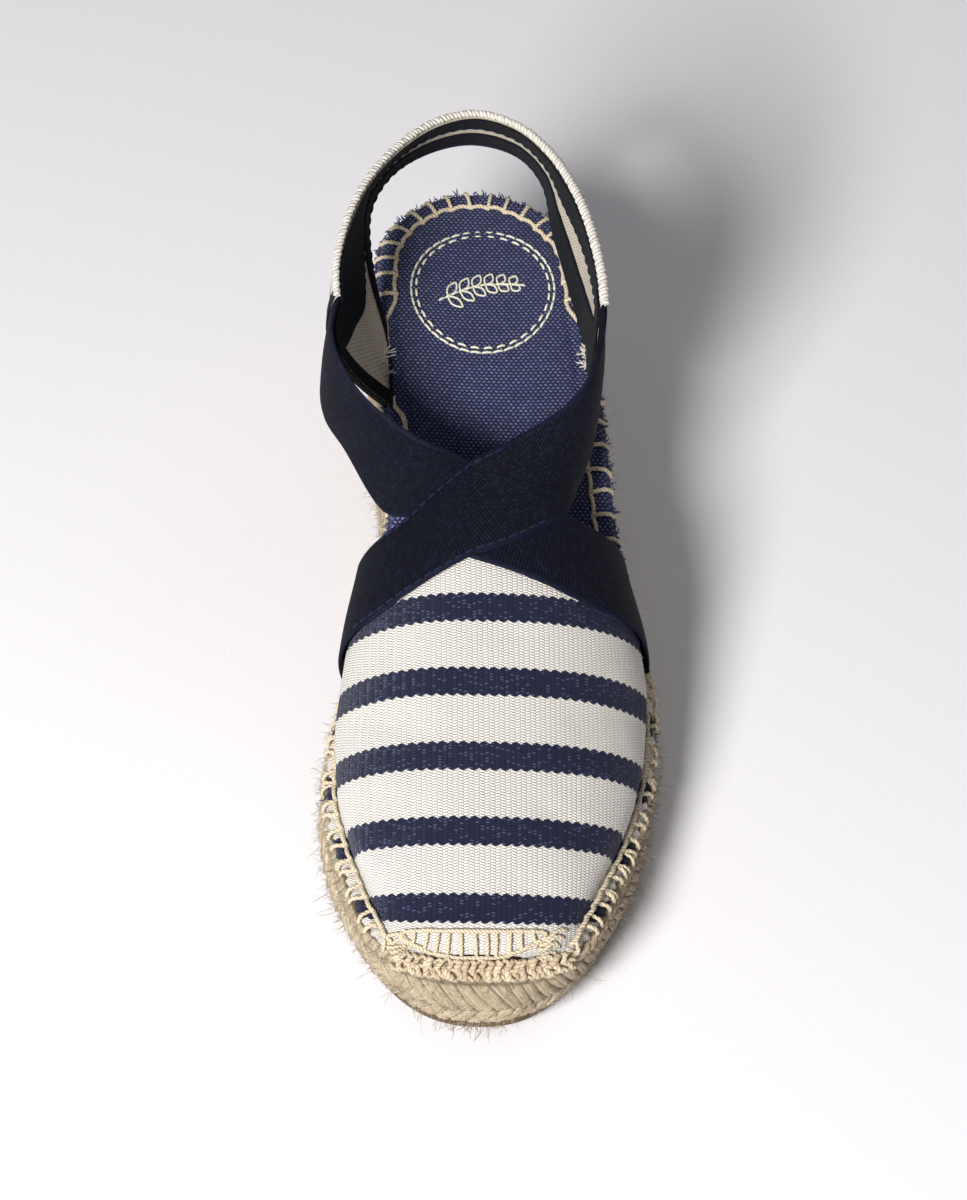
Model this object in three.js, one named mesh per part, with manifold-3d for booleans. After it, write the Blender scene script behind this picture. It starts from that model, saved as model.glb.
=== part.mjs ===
// Left espadrille with a jute wedge, a striped canvas vamp, two crossed elastic
// ribbons and a canvas heel band. Millimetres, +Z up, toe toward -Y, heel toward +Y,
// outer (lateral) side toward +X. The origin is the bottom centre of the bounding box.

import * as THREE from 'three';
import Module from 'manifold-3d';

const wasm = await Module();
wasm.setup();

// ---------------------------------------------------------------- driving dimensions
const GAP = 0.3;              // clearance between curved pieces that meet
const SEAT_GAP = 0.6;         // clearance under the edges that stand on the sole
const TOE_Y = -119;           // tip of the cloth edge on top of the sole
const HEEL_Y = 121;           // back of the cloth edge on top of the sole
const HEEL_ROUND_Y = 92;      // the rounding of the heel starts here
const TOE_AXIS_X = -1.5;      // middle of the toe
const HEEL_AXIS_X = -3.8;     // middle of the heel
const TOE_OVERHANG = 5.9;     // how far the jute stands out in front of the cloth edge
const TOP_TOE = { roundFrom: -95, square: 2.7 };     // toe of the cloth edge, superellipse
const GROUND_TOE = { roundFrom: -74, square: 2.25 }; // rounder, slimmer toe on the ground
const TIP_CUT = 0.3;          // the outline stops this short of each tip

const RUBBER = 2.8;           // thickness of the rubber outsole
const RUBBER_INSET = 0.4;     // side of the outsole inside the cloth edge
const SPRING_HEIGHT = 5.5;    // toe spring at the tip
const SPRING_START_Y = -72;   // the sole lifts off the ground in front of this
const INSOLE = 1.5;           // thickness of the insole
const INSOLE_INSET = 3.5;     // insole edge inside the cloth edge of the sole

const CANVAS = 1.5;           // wall of the vamp
const VAMP_INSET = 1.2;       // outer face of the vamp inside the cloth edge
const THROAT_SIDE_Y = -7;     // back edge of the vamp at the sole
const THROAT_RISE_Y = 4;      // how much further back it reaches on the crown
const BAND = 1.8;             // wall of the heel band, two layers of canvas
const RIBBON = 1.2;           // thickness of the elastic ribbons
const RIBBON_WIDTH = 25;
const RIBBON_OVERLAP = 0.5;   // the ribbons are joined into each other by this much
const RIBBON_BOW = 0.7;       // outward crown across the free part of a ribbon
const RIBBON_SETBACK = GAP + BAND / 4; // the ribbons end this far before the band's corner

const NORMAL_STEP = 0.01;     // step in turn for measuring the form's slope
const OUTLINE_STEPS = 46;
const VAMP_STEPS = 28;
const VAMP_ACROSS = 26;
const RIBBON_ACROSS = 6;
const STEPS_ON_FORM = 4;
const STEPS_FREE = 5;
const BAND_STEPS = 4;
const BAND_ACROSS = 6;

// Sole, a row for each section from toe to heel: x of the inner and outer cloth edge
// before the ends are rounded, height of the top, and how far the jute wall bulges.
const SOLE = [
  { y: -119, medial: -33.6, lateral: 30.4, top: 30.8, bulge: 1.6 },
  { y: -104, medial: -35.2, lateral: 32.2, top: 27.2, bulge: 1.5 },
  { y: -92, medial: -37.8, lateral: 35.6, top: 24.6, bulge: 1.3 },
  { y: -80, medial: -40.6, lateral: 39.8, top: 22.6, bulge: 1.2 },
  { y: -63, medial: -43.2, lateral: 44.0, top: 21.5, bulge: 1.2 },
  { y: -50, medial: -43.0, lateral: 46.0, top: 22.4, bulge: 1.2 },
  { y: -36, medial: -40.4, lateral: 46.6, top: 24.6, bulge: 1.2 },
  { y: -20, medial: -36.2, lateral: 44.6, top: 29.4, bulge: 1.2 },
  { y: 0, medial: -29.9, lateral: 39.0, top: 38.2, bulge: 1.2 },
  { y: 21, medial: -27.3, lateral: 35.0, top: 48.0, bulge: 1.2 },
  { y: 45, medial: -28.9, lateral: 32.4, top: 57.0, bulge: 1.3 },
  { y: 65, medial: -30.6, lateral: 30.0, top: 62.6, bulge: 1.4 },
  { y: 85, medial: -32.4, lateral: 27.2, top: 66.4, bulge: 1.5 },
  { y: 121, medial: -33.0, lateral: 25.2, top: 70.4, bulge: 1.6 },
];

// Jute wall from bottom to top: fraction of the height, share of the bulge, share of
// the toe overhang, and how far the toe has turned from its ground shape to the top one.
const WALL = [
  { level: 0, share: -0.3, overhang: 0.85, toe: 0 },
  { level: 0.12, share: 0.6, overhang: 1, toe: 0.05 },
  { level: 0.4, share: 1, overhang: 0.9, toe: 0.3 },
  { level: 0.75, share: 0.85, overhang: 0.6, toe: 0.7 },
  { level: 0.93, share: 0.45, overhang: 0.3, toe: 0.95 },
  { level: 1, share: 0, overhang: 0, toe: 1 },
];

// Form of the foot under the vamp and the crossing: ridge line, squareness of the
// section, and how far the inner side leans out beyond the sole half way up.
const FORM = [
  { y: -118, ridge: -1.8, crown: 31.8, square: 2.0, lean: 0 },
  { y: -115, ridge: -1.9, crown: 34.6, square: 2.0, lean: 0 },
  { y: -107, ridge: -2.0, crown: 38.4, square: 2.1, lean: 0 },
  { y: -88, ridge: -2.2, crown: 45.0, square: 2.2, lean: 0 },
  { y: -67, ridge: -2.6, crown: 51.0, square: 2.3, lean: 0 },
  { y: -48, ridge: -3.0, crown: 57.0, square: 2.3, lean: 1.2 },
  { y: -28, ridge: -3.6, crown: 64.2, square: 2.3, lean: 3.6 },
  { y: -8, ridge: -4.3, crown: 71.6, square: 2.2, lean: 6.4 },
  { y: 12, ridge: -5.5, crown: 78.0, square: 2.1, lean: 8.4 },
  { y: 25, ridge: -6.5, crown: 82.5, square: 2.0, lean: 9.0 },
];

// Ribbons on the form: turn goes from 0 at the inner edge of the sole over the crown
// to 1 at the outer edge, for the back edge and the front edge of the ribbon. Lift is
// the clearance under each edge.
const UNDER = 2.4 * GAP;
const OVER = UNDER + RIBBON - RIBBON_OVERLAP;
const UPPER_RIBBON_ON_FORM = [
  { backTurn: 0, backY: -3, backLift: UNDER, frontTurn: 0, frontY: -28, frontLift: UNDER },
  { backTurn: 0.14, backY: -3, backLift: UNDER, frontTurn: 0.11, frontY: -27, frontLift: UNDER },
  { backTurn: 0.27, backY: -1.5, backLift: OVER, frontTurn: 0.24, frontY: -26, frontLift: OVER },
  { backTurn: 0.38, backY: 5, backLift: OVER, frontTurn: 0.47, frontY: -15.5, frontLift: OVER },
  { backTurn: 0.47, backY: 10.5, backLift: OVER, frontTurn: 0.56, frontY: -10, frontLift: OVER },
  { backTurn: 0.58, backY: 18, backLift: 3, frontTurn: 0.67, frontY: -1, frontLift: OVER },
];
const LOWER_RIBBON_ON_FORM = [
  { backTurn: 1, backY: 5, backLift: UNDER, frontTurn: 1, frontY: -23, frontLift: UNDER },
  { backTurn: 0.86, backY: 2, backLift: UNDER, frontTurn: 0.88, frontY: -21.5, frontLift: UNDER },
  { backTurn: 0.74, backY: 1, backLift: UNDER, frontTurn: 0.72, frontY: -23, frontLift: UNDER },
  { backTurn: 0.62, backY: 5, backLift: UNDER, frontTurn: 0.56, frontY: -18, frontLift: UNDER },
  { backTurn: 0.51, backY: 11, backLift: UNDER, frontTurn: 0.42, frontY: -10.5, frontLift: UNDER },
  { backTurn: 0.43, backY: 15, backLift: 1.5, frontTurn: 0.32, frontY: -1.6, frontLift: 1.2 },
];

// Ribbons after they leave the form, to the front corners of the heel band.
const UPPER_RIBBON_FREE = [
  { back: [20.5, 26, 88], front: [24, 13, 67.6] },
  { back: [26.8, 33, 93.8], front: [28, 26, 68.8] },
  { back: [29.4, 40.5, 98.8], front: [29.8, 41, 72.6] },
];
const LOWER_RIBBON_FREE = [
  { back: [-20, 17.4, 82], front: [-29.6, 6.6, 63.4] },
  { back: [-33.5, 24.5, 88], front: [-40.4, 26, 66.4] },
  { back: [-41, 32, 93.6], front: [-46, 35, 69] },
  { back: [-44.4, 40.5, 99.2], front: [-47, 43, 74] },
];

// Heel band, a row for each section from the inner front corner round the heel to the
// outer one: top edge, bottom edge, and outward bulge between them. The rows with
// seated: true are the two wings, whose bottom edge stands on the rim of the sole.
const BAND_ROWS = [
  { top: [-42.8, 49, 103.6], bottom: [-27.8, 48, 0], bulge: 8, seated: true },
  { top: [-43.2, 57, 106.0], bottom: [-28.6, 62, 0], bulge: 6.5, seated: true },
  { top: [-42.0, 66, 108.2], bottom: [-29.9, 72, 0], bulge: 4, seated: true },
  { top: [-39.3, 76, 110.2], bottom: [-34.4, 84, 77], bulge: 1.8, seated: false },
  { top: [-35.0, 86, 111.6], bottom: [-35.6, 96, 88], bulge: 1, seated: false },
  { top: [-28.0, 96.6, 112.6], bottom: [-30.4, 105.4, 93.4], bulge: 0.6, seated: false },
  { top: [-17.2, 107, 113.0], bottom: [-19.0, 115, 94.6], bulge: 0.6, seated: false },
  { top: [-5.6, 111, 113.0], bottom: [-5.6, 119, 94.8], bulge: 0.6, seated: false },
  { top: [6.0, 106.6, 113.0], bottom: [7.6, 114.4, 94.6], bulge: 0.6, seated: false },
  { top: [14.8, 97, 112.4], bottom: [15.0, 104.6, 92.6], bulge: 0.6, seated: false },
  { top: [20.8, 86, 111.2], bottom: [18.0, 92, 86.4], bulge: 0.6, seated: false },
  { top: [24.6, 76, 109.6], bottom: [22.4, 82, 77], bulge: 0.6, seated: false },
  { top: [27.2, 66, 107.6], bottom: [27.0, 73, 0], bulge: 0.6, seated: true },
  { top: [28.9, 57, 105.2], bottom: [28.2, 65, 0], bulge: 0.6, seated: true },
  { top: [29.6, 49, 102.8], bottom: [29.4, 57, 0], bulge: 0.6, seated: true },
];

// ---------------------------------------------------------------- curves
// Smooth monotone interpolation of one column of a table over another.
function tableCurve(rows, inputKey, outputKey) {
  const inputs = rows.map((row) => row[inputKey]);
  const outputs = rows.map((row) => row[outputKey]);
  const last = rows.length - 1;
  const steps = inputs.slice(1).map((value, i) => value - inputs[i]);
  const slopes = steps.map((step, i) => (outputs[i + 1] - outputs[i]) / step);
  const tangents = inputs.map((_, i) => {
    if (i === 0) return slopes[0];
    if (i === last) return slopes[last - 1];
    if (slopes[i - 1] * slopes[i] <= 0) return 0;
    const before = 2 * steps[i] + steps[i - 1];
    const after = steps[i] + 2 * steps[i - 1];
    return (before + after) / (before / slopes[i - 1] + after / slopes[i]);
  });
  return (input) => {
    let i = 0;
    while (i < last - 1 && input > inputs[i + 1]) i += 1;
    const t = THREE.MathUtils.clamp((input - inputs[i]) / steps[i], 0, 1);
    const start = (1 + 2 * t) * (1 - t) ** 2 * outputs[i] + t * (1 - t) ** 2 * steps[i] * tangents[i];
    const end = t * t * (3 - 2 * t) * outputs[i + 1] + t * t * (t - 1) * steps[i] * tangents[i + 1];
    return start + end;
  };
}

const soleMedial = tableCurve(SOLE, 'y', 'medial');
const soleLateral = tableCurve(SOLE, 'y', 'lateral');
const soleTop = tableCurve(SOLE, 'y', 'top');
const soleBulge = tableCurve(SOLE, 'y', 'bulge');
const formRidge = tableCurve(FORM, 'y', 'ridge');
const formCrown = tableCurve(FORM, 'y', 'crown');
const formSquare = tableCurve(FORM, 'y', 'square');
const formLean = tableCurve(FORM, 'y', 'lean');

// x of the sole's edge at y, inset inward; side is 'medial' or 'lateral'. The toe says
// where its rounding starts, how square it is and how far its tip is inset.
function edgeX(side, y, inset, toe) {
  const inward = side === 'medial' ? inset : -inset;
  const straight = (side === 'medial' ? soleMedial(y) : soleLateral(y)) + inward;
  if (y < toe.roundFrom) {
    const reach = Math.min(1, (toe.roundFrom - y) / (toe.roundFrom - TOE_Y - toe.inset));
    const share = (1 - reach ** toe.square) ** (1 / toe.square);
    return TOE_AXIS_X + (straight - TOE_AXIS_X) * share;
  }
  if (y > HEEL_ROUND_Y) {
    const reach = Math.min(1, (y - HEEL_ROUND_Y) / (HEEL_Y - inset - HEEL_ROUND_Y));
    return HEEL_AXIS_X + (straight - HEEL_AXIS_X) * Math.sqrt(1 - reach * reach);
  }
  return straight;
}

// Toe between the one on the ground (0) and the one at the cloth edge (1).
function toeBetween(share, inset) {
  return {
    roundFrom: THREE.MathUtils.lerp(GROUND_TOE.roundFrom, TOP_TOE.roundFrom, share),
    square: THREE.MathUtils.lerp(GROUND_TOE.square, TOP_TOE.square, share),
    inset,
  };
}

// Closed plan outline, from toe to heel on the inner side and back on the outer side.
// insetAt(y) gives the inset, heightAt(y) the height of each point.
function outline(insetAt, heightAt, toe) {
  const front = TOE_Y + toe.inset + TIP_CUT;
  const back = HEEL_Y - insetAt(HEEL_Y) - TIP_CUT;
  const stations = Array.from({ length: OUTLINE_STEPS + 1 }, (_, i) => {
    const share = (1 - Math.cos((Math.PI * i) / OUTLINE_STEPS)) / 2;
    return front + (back - front) * share;
  });
  const point = (side, y) => new THREE.Vector3(edgeX(side, y, insetAt(y), toe), y, heightAt(y));
  const inner = stations.map((y) => point('medial', y));
  const outer = stations.map((y) => point('lateral', y)).reverse();
  return [...inner, ...outer];
}

function springHeight(y) {
  const reach = Math.max(0, (SPRING_START_Y - y) / (SPRING_START_Y - TOE_Y));
  return SPRING_HEIGHT * reach * reach;
}

// ---------------------------------------------------------------- closed meshes
function geometryFrom(points, triangles) {
  const geometry = new THREE.BufferGeometry();
  geometry.setAttribute('position', new THREE.Float32BufferAttribute(points.flatMap((p) => p.toArray()), 3));
  geometry.setIndex(triangles.flat());
  geometry.computeVertexNormals();
  return geometry;
}

// Solid between stacked outlines, the first at the bottom, closed by a strip of faces
// across the bottom and the top.
function stackedSolid(rings) {
  const count = rings[0].length;
  const triangles = [];
  for (let r = 0; r < rings.length - 1; r += 1) {
    for (let i = 0; i < count; i += 1) {
      const next = (i + 1) % count;
      const [a, b, c, d] = [r * count + i, r * count + next, (r + 1) * count + next, (r + 1) * count + i];
      triangles.push([a, c, b], [a, d, c]);
    }
  }
  const top = (rings.length - 1) * count;
  for (let i = 0; i < count / 2 - 1; i += 1) {
    const [a, b, c, d] = [i, i + 1, count - 2 - i, count - 1 - i];
    triangles.push([a, b, c], [a, c, d]);
    triangles.push([top + a, top + c, top + b], [top + a, top + d, top + c]);
  }
  return geometryFrom(rings.flat(), triangles);
}

// Wall of the given thickness round a grid of points, half to each side of it.
// The outside is where the steps along the rows cross the steps along the columns.
function wallSolid(grid, thickness) {
  const rows = grid.length;
  const columns = grid[0].length;
  const offsets = grid.map((row, i) => row.map((_, j) => {
    const along = grid[Math.min(i + 1, rows - 1)][j].clone().sub(grid[Math.max(i - 1, 0)][j]);
    const across = row[Math.min(j + 1, columns - 1)].clone().sub(row[Math.max(j - 1, 0)]);
    return along.cross(across).setLength(thickness / 2);
  }));
  const outside = grid.flatMap((row, i) => row.map((p, j) => p.clone().add(offsets[i][j])));
  const inside = grid.flatMap((row, i) => row.map((p, j) => p.clone().sub(offsets[i][j])));
  const shift = rows * columns;
  const triangles = [];
  for (let i = 0; i < rows - 1; i += 1) {
    for (let j = 0; j < columns - 1; j += 1) {
      const [a, b] = [i * columns + j, i * columns + j + 1];
      const [d, c] = [a + columns, b + columns];
      triangles.push([a, c, b], [a, d, c]);
      triangles.push([shift + a, shift + b, shift + c], [shift + a, shift + c, shift + d]);
    }
  }
  const rim = [
    ...Array.from({ length: columns - 1 }, (_, j) => j),
    ...Array.from({ length: rows - 1 }, (_, i) => i * columns + columns - 1),
    ...Array.from({ length: columns - 1 }, (_, j) => rows * columns - 1 - j),
    ...Array.from({ length: rows - 1 }, (_, i) => (rows - 1 - i) * columns),
  ];
  rim.forEach((a, k) => {
    const b = rim[(k + 1) % rim.length];
    triangles.push([a, b, shift + b], [a, shift + b, shift + a]);
  });
  return geometryFrom([...outside, ...inside], triangles);
}

function toManifold(geometry) {
  return new wasm.Manifold(new wasm.Mesh({
    numProp: 3,
    vertProperties: geometry.attributes.position.array,
    triVerts: Uint32Array.from(geometry.index.array),
  }));
}

function fromManifold(solid) {
  const mesh = solid.getMesh();
  const geometry = new THREE.BufferGeometry();
  geometry.setAttribute('position', new THREE.BufferAttribute(mesh.vertProperties, 3));
  geometry.setIndex(new THREE.BufferAttribute(mesh.triVerts, 1));
  geometry.computeVertexNormals();
  return geometry;
}

// ---------------------------------------------------------------- sole
function makeOutsole() {
  const inset = () => RUBBER_INSET;
  const toe = toeBetween(0, -TOE_OVERHANG * WALL[0].overhang);
  return stackedSolid([
    outline(inset, springHeight, toe),
    outline(inset, (y) => springHeight(y) + RUBBER, toe),
  ]);
}

function makeJuteSole() {
  return stackedSolid(WALL.map(({ level, share, overhang, toe }) => {
    const bottom = (y) => springHeight(y) + RUBBER + GAP;
    const height = (y) => THREE.MathUtils.lerp(bottom(y), soleTop(y), level);
    return outline((y) => -soleBulge(y) * share, height, toeBetween(toe, -TOE_OVERHANG * overhang));
  }));
}

function makeInsole() {
  const inset = () => INSOLE_INSET;
  const toe = toeBetween(1, INSOLE_INSET);
  return stackedSolid([
    outline(inset, (y) => soleTop(y) + GAP, toe),
    outline(inset, (y) => soleTop(y) + GAP + INSOLE, toe),
  ]);
}

// ---------------------------------------------------------------- upper
// Point on the foot form at y, turned from the inner edge of the sole (0) over the
// crown to the outer edge (1).
function surfacePoint(y, turn) {
  const base = soleTop(y) + SEAT_GAP;
  const exponent = 2 / formSquare(y);
  const angle = Math.PI * turn;
  const side = Math.cos(angle) > 0 ? 'medial' : 'lateral';
  const rise = Math.sin(angle) ** exponent;
  const spread = Math.abs(Math.cos(angle)) ** exponent;
  const edge = edgeX(side, y, VAMP_INSET, toeBetween(1, VAMP_INSET));
  const lean = side === 'medial' ? -formLean(y) * 4 * rise * (1 - rise) : 0;
  const ridge = formRidge(y);
  const x = ridge + (edge - ridge + lean) * spread;
  return new THREE.Vector3(x, y, base + (formCrown(y) - base) * rise);
}

// The same point lifted off the form along its outward normal.
function formPoint(y, turn, lift) {
  const [near, far] = [Math.max(turn - NORMAL_STEP, 0), Math.min(turn + NORMAL_STEP, 1)];
  const around = surfacePoint(y, far).sub(surfacePoint(y, near));
  const along = surfacePoint(y + 1, turn).sub(surfacePoint(y - 1, turn));
  const outward = along.cross(around).negate().setLength(1);
  if (turn === 0 || turn === 1) outward.setZ(0);
  return surfacePoint(y, turn).addScaledVector(outward, lift);
}

function makeVamp() {
  const front = TOE_Y + VAMP_INSET + TIP_CUT;
  const grid = Array.from({ length: VAMP_STEPS + 1 }, (_, i) => {
    const share = 1 - Math.cos((Math.PI * i) / (2 * VAMP_STEPS));
    return Array.from({ length: VAMP_ACROSS + 1 }, (_, j) => {
      const turn = j / VAMP_ACROSS;
      const throat = THROAT_SIDE_Y + THROAT_RISE_Y * Math.sin(Math.PI * turn);
      return formPoint(front + (throat - front) * share, turn, -CANVAS / 2);
    });
  });
  return wallSolid(grid, CANVAS);
}

// Line across a ribbon between its back and front edge, crowned outward by bow.
function crossLine(back, front, bow) {
  const middle = new THREE.Vector3(HEEL_AXIS_X, back.y, (back.z + front.z) / 2);
  const outward = back.clone().add(front).multiplyScalar(0.5).sub(middle).setLength(1);
  return Array.from({ length: RIBBON_ACROSS + 1 }, (_, j) => {
    const share = j / RIBBON_ACROSS;
    return back.clone().lerp(front, share).addScaledVector(outward, 4 * bow * share * (1 - share));
  });
}

function ribbonGrid(onForm, free, end) {
  const columns = ['backTurn', 'backY', 'backLift', 'frontTurn', 'frontY', 'frontLift'];
  const numbered = onForm.map((row, i) => ({ ...row, index: i }));
  const curves = columns.map((key) => tableCurve(numbered, 'index', key));
  const steps = (onForm.length - 1) * STEPS_ON_FORM;
  const laid = Array.from({ length: steps + 1 }, (_, i) => {
    const [back, front] = [0, 3].map((first) => (
      curves.slice(first, first + 3).map((curve) => curve(i / STEPS_ON_FORM))
    ));
    return Array.from({ length: RIBBON_ACROSS + 1 }, (_, j) => {
      const share = j / RIBBON_ACROSS;
      const [turn, y, lift] = back.map((value, k) => THREE.MathUtils.lerp(value, front[k], share));
      return formPoint(y, turn, lift + RIBBON / 2);
    });
  });
  const vector = (p) => new THREE.Vector3(...p);
  const hanging = free.map(({ back, front }) => crossLine(vector(back), vector(front), RIBBON_BOW));
  const lines = [laid[steps - STEPS_ON_FORM], laid[steps], ...hanging, end];
  const threads = lines[0].map((_, j) => new THREE.CatmullRomCurve3(lines.map((line) => line[j])));
  const spans = lines.length - 1;
  const swept = Array.from({ length: (spans - 1) * STEPS_FREE }, (_, i) => {
    const share = (1 + (i + 1) / STEPS_FREE) / spans;
    return threads.map((thread) => thread.getPoint(share));
  });
  return [...laid, ...swept];
}

// Middle surface of the heel band at a row number (may be between rows) and a share of
// the height, 0 at the top edge and 1 at the bottom edge.
function bandCurves() {
  const vectors = BAND_ROWS.map(({ top, bottom, bulge, seated }) => {
    const height = seated ? soleTop(bottom[1]) + GAP + BAND / 2 : bottom[2];
    return { top: new THREE.Vector3(...top), bottom: new THREE.Vector3(bottom[0], bottom[1], height), bulge };
  });
  const topCurve = new THREE.CatmullRomCurve3(vectors.map(({ top }) => top));
  const bottomCurve = new THREE.CatmullRomCurve3(vectors.map(({ bottom }) => bottom));
  const bulgeCurve = tableCurve(vectors.map(({ bulge }, row) => ({ row, bulge })), 'row', 'bulge');
  return (row, share) => {
    const place = row / (BAND_ROWS.length - 1);
    const top = topCurve.getPoint(place);
    const bottom = bottomCurve.getPoint(place);
    const tangent = topCurve.getTangent(place);
    const outward = new THREE.Vector3(-tangent.y, tangent.x, 0).setLength(1);
    const swell = 4 * bulgeCurve(row) * share * (1 - share);
    return top.lerp(bottom, share).addScaledVector(outward, swell);
  };
}
const bandPoint = bandCurves();

function makeHeelBand() {
  const steps = (BAND_ROWS.length - 1) * BAND_STEPS;
  const grid = Array.from({ length: steps + 1 }, (_, i) => (
    Array.from({ length: BAND_ACROSS + 1 }, (_, j) => bandPoint(i / BAND_STEPS, j / BAND_ACROSS))
  ));
  return wallSolid(grid, BAND);
}

// Where a ribbon meets the front edge of a wing: the upper RIBBON_WIDTH of that edge.
function ribbonEnd(row) {
  const height = bandPoint(row, 0).distanceTo(bandPoint(row, 1));
  return Array.from({ length: RIBBON_ACROSS + 1 }, (_, j) => {
    const share = ((j / RIBBON_ACROSS) * RIBBON_WIDTH) / height;
    return bandPoint(row, share).add(new THREE.Vector3(0, -RIBBON_SETBACK, 0));
  });
}

function makeCrossStraps() {
  const upper = ribbonGrid(UPPER_RIBBON_ON_FORM, UPPER_RIBBON_FREE, ribbonEnd(BAND_ROWS.length - 1));
  const lower = ribbonGrid(LOWER_RIBBON_ON_FORM, LOWER_RIBBON_FREE, ribbonEnd(0));
  const joined = toManifold(wallSolid(upper, RIBBON)).add(toManifold(wallSolid(lower, RIBBON)));
  return fromManifold(joined);
}

// ---------------------------------------------------------------- assembly
const group = new THREE.Group();

function addPart(name, geometry, color, roughness) {
  const material = new THREE.MeshStandardMaterial({ color, roughness, metalness: 0 });
  const mesh = new THREE.Mesh(geometry, material);
  mesh.name = name;
  group.add(mesh);
}

addPart('outsole', makeOutsole(), 0x5a4636, 0.8);
addPart('jute_sole', makeJuteSole(), 0xcdbe9b, 0.95);
addPart('insole', makeInsole(), 0x4b5087, 0.9);
addPart('vamp', makeVamp(), 0xebe4d8, 0.9);
addPart('cross_straps', makeCrossStraps(), 0x1e223c, 0.7);
addPart('heel_band', makeHeelBand(), 0xd2c8b9, 0.9);

export default group;
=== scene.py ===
import math

import bpy
import numpy as np
from mathutils import Matrix, Vector


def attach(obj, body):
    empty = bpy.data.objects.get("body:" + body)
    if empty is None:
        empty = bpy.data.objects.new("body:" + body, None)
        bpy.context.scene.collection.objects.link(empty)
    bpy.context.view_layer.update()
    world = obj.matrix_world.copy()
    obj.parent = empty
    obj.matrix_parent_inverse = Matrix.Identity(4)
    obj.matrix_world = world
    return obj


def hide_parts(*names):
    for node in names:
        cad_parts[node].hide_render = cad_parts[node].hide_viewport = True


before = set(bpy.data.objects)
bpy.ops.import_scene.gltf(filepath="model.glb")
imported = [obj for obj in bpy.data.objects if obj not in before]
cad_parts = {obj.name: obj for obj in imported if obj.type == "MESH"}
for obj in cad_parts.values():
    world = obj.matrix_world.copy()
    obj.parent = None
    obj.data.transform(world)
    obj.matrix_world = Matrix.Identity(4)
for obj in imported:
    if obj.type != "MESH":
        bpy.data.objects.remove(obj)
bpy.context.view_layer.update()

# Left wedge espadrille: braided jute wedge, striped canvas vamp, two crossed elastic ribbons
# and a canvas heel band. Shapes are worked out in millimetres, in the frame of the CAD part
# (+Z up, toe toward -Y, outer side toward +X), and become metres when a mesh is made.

MM = 0.001
SEED = 11
random = np.random.default_rng(SEED)


# ------------------------------------------------------------------ sizes of the CAD part
TOE_Y = -119.0             # tip of the cloth edge on top of the sole
HEEL_Y = 121.0             # back of the cloth edge
HEEL_ROUND_Y = 92.0        # the rounding of the heel starts here
TOE_AXIS_X = -1.5
HEEL_AXIS_X = -3.8
TOE_OVERHANG = 5.9         # jute in front of the cloth edge
TOP_TOE = (-95.0, 2.7)     # where the toe rounds from, and how square it is, at the cloth edge
GROUND_TOE = (-74.0, 2.25)  # the same on the ground
RUBBER = 2.8
RUBBER_INSET = 0.4
SPRING_HEIGHT = 5.5
SPRING_START_Y = -72.0
GAP = 0.3
SEAT_GAP = 0.6
INSOLE = 1.5
VAMP_INSET = 1.2
THROAT_SIDE_Y = -7.0
THROAT_RISE_Y = 4.0
BAND = 1.8                 # wall of the heel band
RIBBON = 1.2
RIBBON_WIDTH = 25.0
RIBBON_BOW = 0.7
UNDER = 2.4 * GAP          # clearance below the ribbon that lies on the vamp
OVER = UNDER + 0.7         # clearance below the ribbon that crosses over it


def table(names, rows):
    """Columns of a table, by name."""
    return dict(zip(names.split(), np.array(rows, float).T))


SOLE = table("y medial lateral top bulge", [
    (-119, -33.6, 30.4, 30.8, 1.6), (-104, -35.2, 32.2, 27.2, 1.5), (-92, -37.8, 35.6, 24.6, 1.3),
    (-80, -40.6, 39.8, 22.6, 1.2), (-63, -43.2, 44.0, 21.5, 1.2), (-50, -43.0, 46.0, 22.4, 1.2),
    (-36, -40.4, 46.6, 24.6, 1.2), (-20, -36.2, 44.6, 29.4, 1.2), (0, -29.9, 39.0, 38.2, 1.2),
    (21, -27.3, 35.0, 48.0, 1.2), (45, -28.9, 32.4, 57.0, 1.3), (65, -30.6, 30.0, 62.6, 1.4),
    (85, -32.4, 27.2, 66.4, 1.5), (121, -33.0, 25.2, 70.4, 1.6),
])
WALL = table("level share overhang toe", [
    (0, -0.3, 0.85, 0), (0.12, 0.6, 1, 0.05), (0.4, 1, 0.9, 0.3), (0.75, 0.85, 0.6, 0.7),
    (0.93, 0.45, 0.3, 0.95), (1, 0, 0, 1),
])
FORM = table("y ridge crown square lean", [
    (-118, -1.8, 31.8, 2.0, 0), (-115, -1.9, 34.6, 2.0, 0), (-107, -2.0, 38.4, 2.1, 0),
    (-88, -2.2, 45.0, 2.2, 0), (-67, -2.6, 51.0, 2.3, 0), (-48, -3.0, 57.0, 2.3, 1.2),
    (-28, -3.6, 64.2, 2.3, 3.6), (-8, -4.3, 71.6, 2.2, 6.4), (12, -5.5, 78.0, 2.1, 8.4),
    (25, -6.5, 82.5, 2.0, 9.0),
])
UPPER_ON_FORM = table("back_turn back_y back_lift front_turn front_y front_lift", [
    (0, -3, UNDER, 0, -28, UNDER), (0.14, -3, UNDER, 0.11, -27, UNDER),
    (0.27, -1.5, OVER, 0.24, -26, OVER), (0.38, 5, OVER, 0.47, -15.5, OVER),
    (0.47, 10.5, OVER, 0.56, -10, OVER), (0.58, 18, 3, 0.67, -1, OVER),
])
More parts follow.
